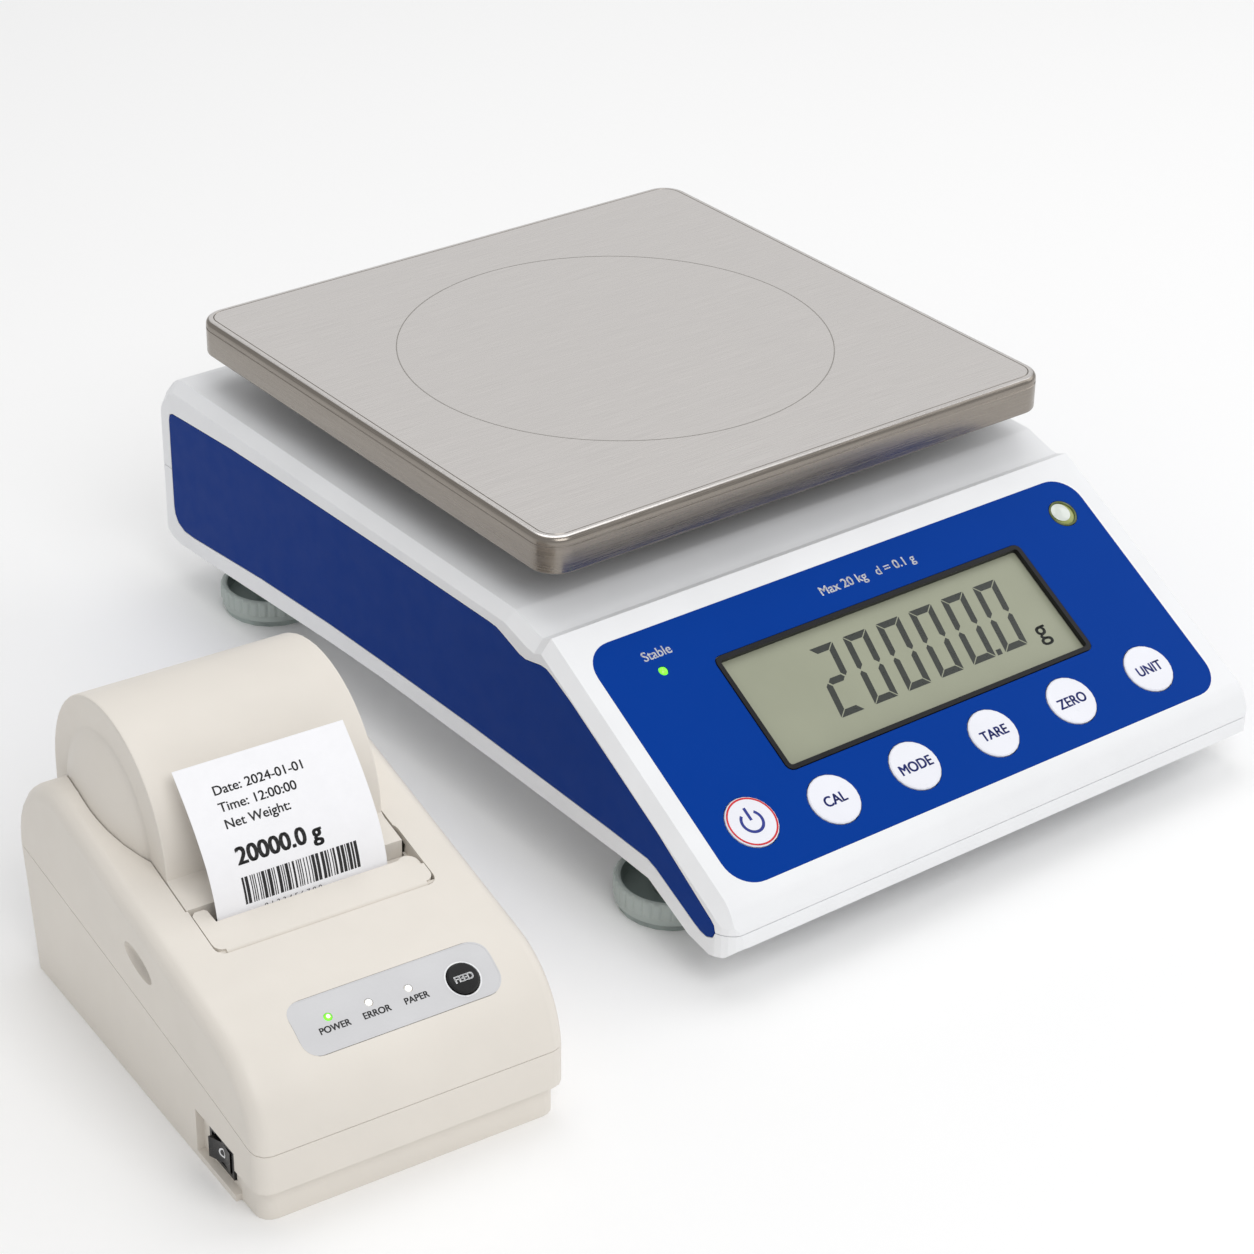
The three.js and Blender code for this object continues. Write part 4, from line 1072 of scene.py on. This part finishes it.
def sticker_border():
    """The sticker's edge, pressed into its recess."""
    length = ARC_RADIUS * math.radians(STICKER_TO - STICKER_FROM)
    x = (STICKER_LEFT + STICKER_RIGHT) / 2
    y = ARC_RADIUS * math.radians(LAMP_ANGLE - (STICKER_FROM + STICKER_TO) / 2)
    width = STICKER_RIGHT - STICKER_LEFT
    inner = fine_outline(rounded_rectangle(width - 0.3, length - 0.3, STICKER_CORNER, steps=8))
    outer = fine_outline(rounded_rectangle(width + 0.5, length + 0.5, STICKER_CORNER, steps=8))
    ring = frame_ring(inner, outer, -0.6, 0.05)
    for vert in ring.verts:
        vert.co = Vector(arc_surface(vert.co.x + x, vert.co.y + y, vert.co.z))
    add_piece("sticker_border", ring, PRINTER, "lid", STICKER)


def sticker_print():
    for words, x in LAMP_LEGENDS:
        artwork = letter_mesh(words, 2.1, bold=0.16, narrow=1.0)
        lay(artwork, arc_surface, x, -LEGEND_DROP, INK)
        print_or_shade_piece(words.lower() + "_legend", artwork, PRINTER, "lid", BLACK_PRINT_AND_SHADE)
    feed = letter_mesh("FEED", 2.2, bold=0.22, narrow=0.95)
    feed.transform(Matrix.Translation((0, -1.1, 0)))
    place = on_arc(BUTTON_X, BUTTON_ANGLE)
    top = place @ Matrix.Translation((0, 0, BUTTON_PROUD + INK))
    print_or_shade_piece("feed_legend", feed, top, "feed_button", INK_WHITE)
    halo = annulus(BUTTON_RADIUS + 0.3, BUTTON_RADIUS + 0.75, steps=64)
    lay(halo, arc_surface, BUTTON_X, ARC_RADIUS * math.radians(LAMP_ANGLE - BUTTON_ANGLE), INK)
    print_or_shade_piece("button_halo", halo, PRINTER, "lid", INK_WHITE)


def lamp_heart():
    """The bright middle of the lit lamp."""
    profile = [(0, 0.3), (0.62, 0.35), (0.5, 0.5), (0.25, 0.58), (0, 0.6)]
    add_piece("power_lamp_heart", turned(profile, 24), on_arc(LAMP_X[0], LAMP_ANGLE), "lid", LAMP_HEART)


sticker_border()
sticker_print()
lamp_heart()

# ---------------------------------------------------------------- printer: rocker switch mark

SWITCH_Y = 24.8
SWITCH_Z = 9.2
ROCKER_PIVOT = -46.7
ROCKER_LEAN = math.radians(8)
ROCKER_MIDDLE = 2.7  # the crease's distance from the pivot
ROCKER_FLARE = 1.4 / 5.4  # how fast the two halves rise from the crease


def rocker_surface(u, v, lift):
    """Point on the rocker's two halves, seen from outside; u runs forwards."""
    return (-(ROCKER_MIDDLE + abs(u) * ROCKER_FLARE) - lift, -u, v)


def rocker_mark():
    """The ring in the middle of the rocker."""
    mark = lay(annulus(1.05, 1.6, steps=40), rocker_surface)
    place = (
        PRINTER
        @ Matrix.Translation((ROCKER_PIVOT, SWITCH_Y, SWITCH_Z))
        @ Matrix.Rotation(ROCKER_LEAN, 4, "Z")
    )
    print_or_shade_piece("rocker_mark", mark, place, "rocker", INK_WHITE)


rocker_mark()

# ---------------------------------------------------------------- backs and undersides

SCREW_TOP = 1.4
SCALE_UNDERSIDE = 25.6  # height of the flat part of the scale's underside
SCALE_SCREWS = ((-62, -128), (62, -128), (-62, -60), (62, -60))
PRINTER_SCREWS = ((-38, 16), (38, 16), (-38, 140), (38, 140))
PRINTER_SCREW_RADIUS = 2.2
PRINTER_SCREW_RAISE = 1.5  # above the base's lowest point
DATA_OPENING = (17, 8.2)  # width and height
DATA_SHELL = (18, 9.2)
DATA_INSULATOR = (16.9, 8.1)
DATA_FLANGE_FACE = -0.9  # behind the shell's rim
DATA_PIN_PITCH = 2.77
DATA_ROW_OFFSET = 1.42  # half the distance between the two rows of pins
DATA_JACK_X = 12.5
SOCKET_DEPTH = 3.5
SUPPLY_FLOOR = (15, 156.7 - SOCKET_DEPTH, 23.5)  # middle of the socket's bottom
INTERFACE_FLOOR = (-25, 156.6 - SOCKET_DEPTH, 24.5)
SOCKET_PIN_REACH = 2.9
SOCKET_PIN_RADIUS = 0.95


def screw_head(name, place, body, radius=2.6):
    """A pan-head screw with a cross recess, its head along +z; the recess is a flat black cross of painted shade.
    """
    head = [(0, -0.4), (radius, -0.4), (radius, 0.3), (radius * 0.92, 0.8), (radius * 0.6, 1.25)]
    head.append((0, SCREW_TOP))
    add_piece(name, turned(head, 32), place, body, PLATED)
    # The cross recess is a flat black cross laid on the head: painted shade.
    cross = bmesh.new()
    for quarter in range(4):
        arm = grid_rectangle(-0.3, 0.0, 0.3, radius * 0.55)
        join_into(cross, moved(arm, Matrix.Rotation(math.pi / 2 * quarter, 4, "Z")))
    top = place @ Matrix.Translation((0, 0, SCREW_TOP + INK))
    print_or_shade_piece(name + "_painted_recess_shade", cross, top, body, BLACK_PRINT_AND_SHADE)


FACING_DOWN = Matrix.Rotation(math.pi, 4, "X")
FACING_BACK = Matrix.Rotation(-math.pi / 2, 4, "X")


def bottom_of(name):
    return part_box(name)[0].z * 1000


def scale_screws():
    """Screws that hold the two casing halves together, in the flat part of the underside."""
    for i, (x, y) in enumerate(SCALE_SCREWS):
        place = SCALE @ Matrix.Translation((x, y, SCALE_UNDERSIDE)) @ FACING_DOWN
        screw_head(f"scale_screw_{i + 1}", place, "root")


def printer_screws():
    """Screws in the printer's base plate."""
    base = bottom_of("printer_base")
    for i, (x, y) in enumerate(PRINTER_SCREWS):
        place = PRINTER @ Matrix.Translation((x, y, base + PRINTER_SCREW_RAISE)) @ FACING_DOWN
        screw_head(f"printer_screw_{i + 1}", place, "root", radius=PRINTER_SCREW_RADIUS)


def contact_pin(name, place, reach, radius=0.5):
    """A round pin that stands along +z, its foot at the bottom of a socket."""
    profile = [(0, 0), (radius, 0), (radius, reach - 0.5), (radius * 0.6, reach - 0.1), (0, reach)]
    add_piece(name, turned(profile, 16), place, "root", SPINDLE)


def connector_outline(width, height, slant=1.6):
    """The D shape of a serial connector, its long side at the top."""
    half = width / 2
    return [
        (-half, -height / 2),
        (half, -height / 2),
        (half - slant, height / 2),
        (slant - half, height / 2),
    ]


def data_connector():
    """The scale's nine-way connector: flange, D-shaped shell, insulator and pins."""
    low, high = (corner * 1000 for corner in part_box("data_socket"))
    middle = (low + high) / 2
    place = MM @ Matrix.Translation((middle.x, high.y, middle.z)) @ FACING_BACK
    width = high.x - low.x
    height = high.z - low.z
    body = plate(rounded_rectangle(width, height, 1.5), low.y - high.y, DATA_FLANGE_FACE)
    made = add_piece("data_flange", body, place, "root", PLATED)
    hide_behind(made, "data_socket")
    shell = frame_ring(connector_outline(*DATA_OPENING), connector_outline(*DATA_SHELL), -1.0, 0.0)
    add_piece("data_shell", shell, place, "root", PLATED)
    insulator = plate(connector_outline(*DATA_INSULATOR), -1.0, -0.6)
    add_piece("data_insulator", insulator, place, "root", BLACK_GLOSS)
    for i in range(9):
        row = 0 if i < 5 else 1
        x = (i - 2 if row == 0 else i - 6.5) * DATA_PIN_PITCH
        y = DATA_ROW_OFFSET * (2 * row - 1)
        contact_pin(f"data_pin_{i + 1}", place @ Matrix.Translation((x, y, -0.7)), 0.65, 0.45)
    for side in (-1, 1):
        jack = place @ Matrix.Translation((side * DATA_JACK_X, 0, DATA_FLANGE_FACE))
        nut = turned([(1.0, 0), (2.0, 0), (2.0, 0.7), (1.8, 0.9), (1.0, 0.9)], 6)
        add_piece("data_jack_left" if side < 0 else "data_jack_right", nut, jack, "root", SPINDLE)


def socket_contacts():
    """What stands in the mouths of the power, supply and interface sockets."""
    low, high = (corner * 1000 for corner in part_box("power_socket"))
    middle = (low + high) / 2
    power = MM @ Matrix.Translation((middle.x, high.y - SOCKET_DEPTH, middle.z)) @ FACING_BACK
    contact_pin("power_pin", power, SOCKET_PIN_REACH, SOCKET_PIN_RADIUS)
    supply = PRINTER @ Matrix.Translation(SUPPLY_FLOOR) @ FACING_BACK
    contact_pin("supply_pin", supply, SOCKET_PIN_REACH, SOCKET_PIN_RADIUS)
    port = PRINTER @ Matrix.Translation(INTERFACE_FLOOR) @ FACING_BACK
    tongue = plate(rounded_rectangle(6.4, 3.2, 0.4), 0, SOCKET_PIN_REACH)
    add_piece("interface_tongue", tongue, port, "root", BLACK_GLOSS)


ROLL_Y = 119
ROLL_Z = 56
ROLL_RADIUS = 32
ROLL_BORE = 10.3
ROLL_LEFT = -29
ROLL_RIGHT = 27
LAYER_PITCH = 1.6
LAYER_WIDTH = 0.12


def roll_turn_shade_lines():
    """Fine rings at both ends of the paper roll, where its turns show: thin grey lines of painted shade between
    the turns.
    """
    centre = Matrix.Translation((0, ROLL_Y, ROLL_Z))
    for side, x in (("left", ROLL_LEFT), ("right", ROLL_RIGHT)):
        rings = bmesh.new()
        radius = ROLL_BORE + 2
        while radius < ROLL_RADIUS - 1:
            join_into(rings, annulus(radius, radius + LAYER_WIDTH, steps=64))
            radius += LAYER_PITCH
        outward = -1 if side == "left" else 1
        turn = Matrix.Rotation(outward * math.pi / 2, 4, "Y")
        place = PRINTER @ Matrix.Translation((x + outward * INK, 0, 0)) @ centre @ turn
        print_or_shade_piece(f"roll_turn_shade_lines_{side}", rings, place, "roll", LINE_SHADE_PAINT)


scale_screws()
printer_screws()
data_connector()
socket_contacts()
roll_turn_shade_lines()

# ---------------------------------------------------------------- stage, lights, camera

FLOOR = 3.0  # half the floor's side, in metres
FLOOR_TONE = 0.985
SKY_STRENGTH = 0.54
# Each light's name, place, aim, width, height and power.
LIGHTS = (
    ("key light", (-0.15, -1.3, 1.4), (0.02, 0, 0.05), 1.2, 1.0, 10.5),
    ("top light", (0.3, 0.4, 1.7), (0.05, 0.05, 0.05), 1.4, 1.2, 7.5),
    ("side light", (1.4, -0.3, 0.9), (0.05, 0, 0.05), 0.9, 0.9, 3),
    ("rear light", (1.0, 1.35, 0.85), (0.08, 0.06, 0.1), 1.9, 1.1, 1.3),
)
AZIMUTH = math.radians(-37.578)
ELEVATION = math.radians(29.633)
CAMERA_ROLL = math.radians(0.809)
CAMERA_AIM = Vector((0.02152, 0.0188, -0.13383))  # from the middle of the pan's top, in metres
CAMERA_DISTANCE = 1.29875
LENS_LENGTH = 96.0
SENSOR_WIDTH = 36.0


def studio():
    floor_mesh = bpy.data.meshes.new("floor")
    floor_mesh.from_pydata(
        [(-FLOOR, -FLOOR, 0), (FLOOR, -FLOOR, 0), (FLOOR, FLOOR, 0), (-FLOOR, FLOOR, 0)],
        [],
        [(0, 1, 2, 3)],
    )
    floor = bpy.data.objects.new("floor", floor_mesh)
    bpy.context.scene.collection.objects.link(floor)
    s = Shader("pale floor")
    s.bsdf.inputs["Base Color"].default_value = (FLOOR_TONE, FLOOR_TONE, FLOOR_TONE, 1)
    s.bsdf.inputs["Roughness"].default_value = 0.75
    s.bsdf.inputs["Specular IOR Level"].default_value = 0.1
    floor.data.materials.append(s.material)

    world = bpy.data.worlds.new("studio")
    world.use_nodes = True
    background = world.node_tree.nodes["Background"]
    background.inputs["Color"].default_value = (1.0, 1.0, 1.0, 1)
    background.inputs["Strength"].default_value = SKY_STRENGTH
    bpy.context.scene.world = world


def soft_light(name, place, aim, width, height, power):
    light = bpy.data.lights.new(name, "AREA")
    light.shape = "RECTANGLE"
    light.size = width
    light.size_y = height
    light.energy = power
    obj = bpy.data.objects.new(name, light)
    obj.location = place
    direction = Vector(aim) - Vector(place)
    obj.rotation_mode = "QUATERNION"
    obj.rotation_quaternion = direction.to_track_quat("-Z", "Y")
    bpy.context.scene.collection.objects.link(obj)
    return obj


def camera():
    """The camera that took the reference view, as azimuth, elevation and roll about a target."""
    back = Vector(
        (
            math.sin(AZIMUTH) * math.cos(ELEVATION),
            -math.cos(AZIMUTH) * math.cos(ELEVATION),
            math.sin(ELEVATION),
        )
    )
    side = Vector((0, 0, 1)).cross(back).normalized()
    up = back.cross(side)
    right = math.cos(CAMERA_ROLL) * side + math.sin(CAMERA_ROLL) * up
    top = -math.sin(CAMERA_ROLL) * side + math.cos(CAMERA_ROLL) * up
    target = pan_top + CAMERA_AIM
    data = bpy.data.cameras.new("camera")
    data.lens = LENS_LENGTH
    data.sensor_width = SENSOR_WIDTH
    data.clip_end = 20
    obj = bpy.data.objects.new("camera", data)
    turn = Matrix((right, top, back)).transposed()
    obj.matrix_world = Matrix.Translation(target + back * CAMERA_DISTANCE) @ turn.to_4x4()
    bpy.context.scene.collection.objects.link(obj)
    bpy.context.scene.camera = obj


studio()
for settings in LIGHTS:
    soft_light(*settings)
camera()
bpy.context.scene.view_settings.view_transform = "Standard"
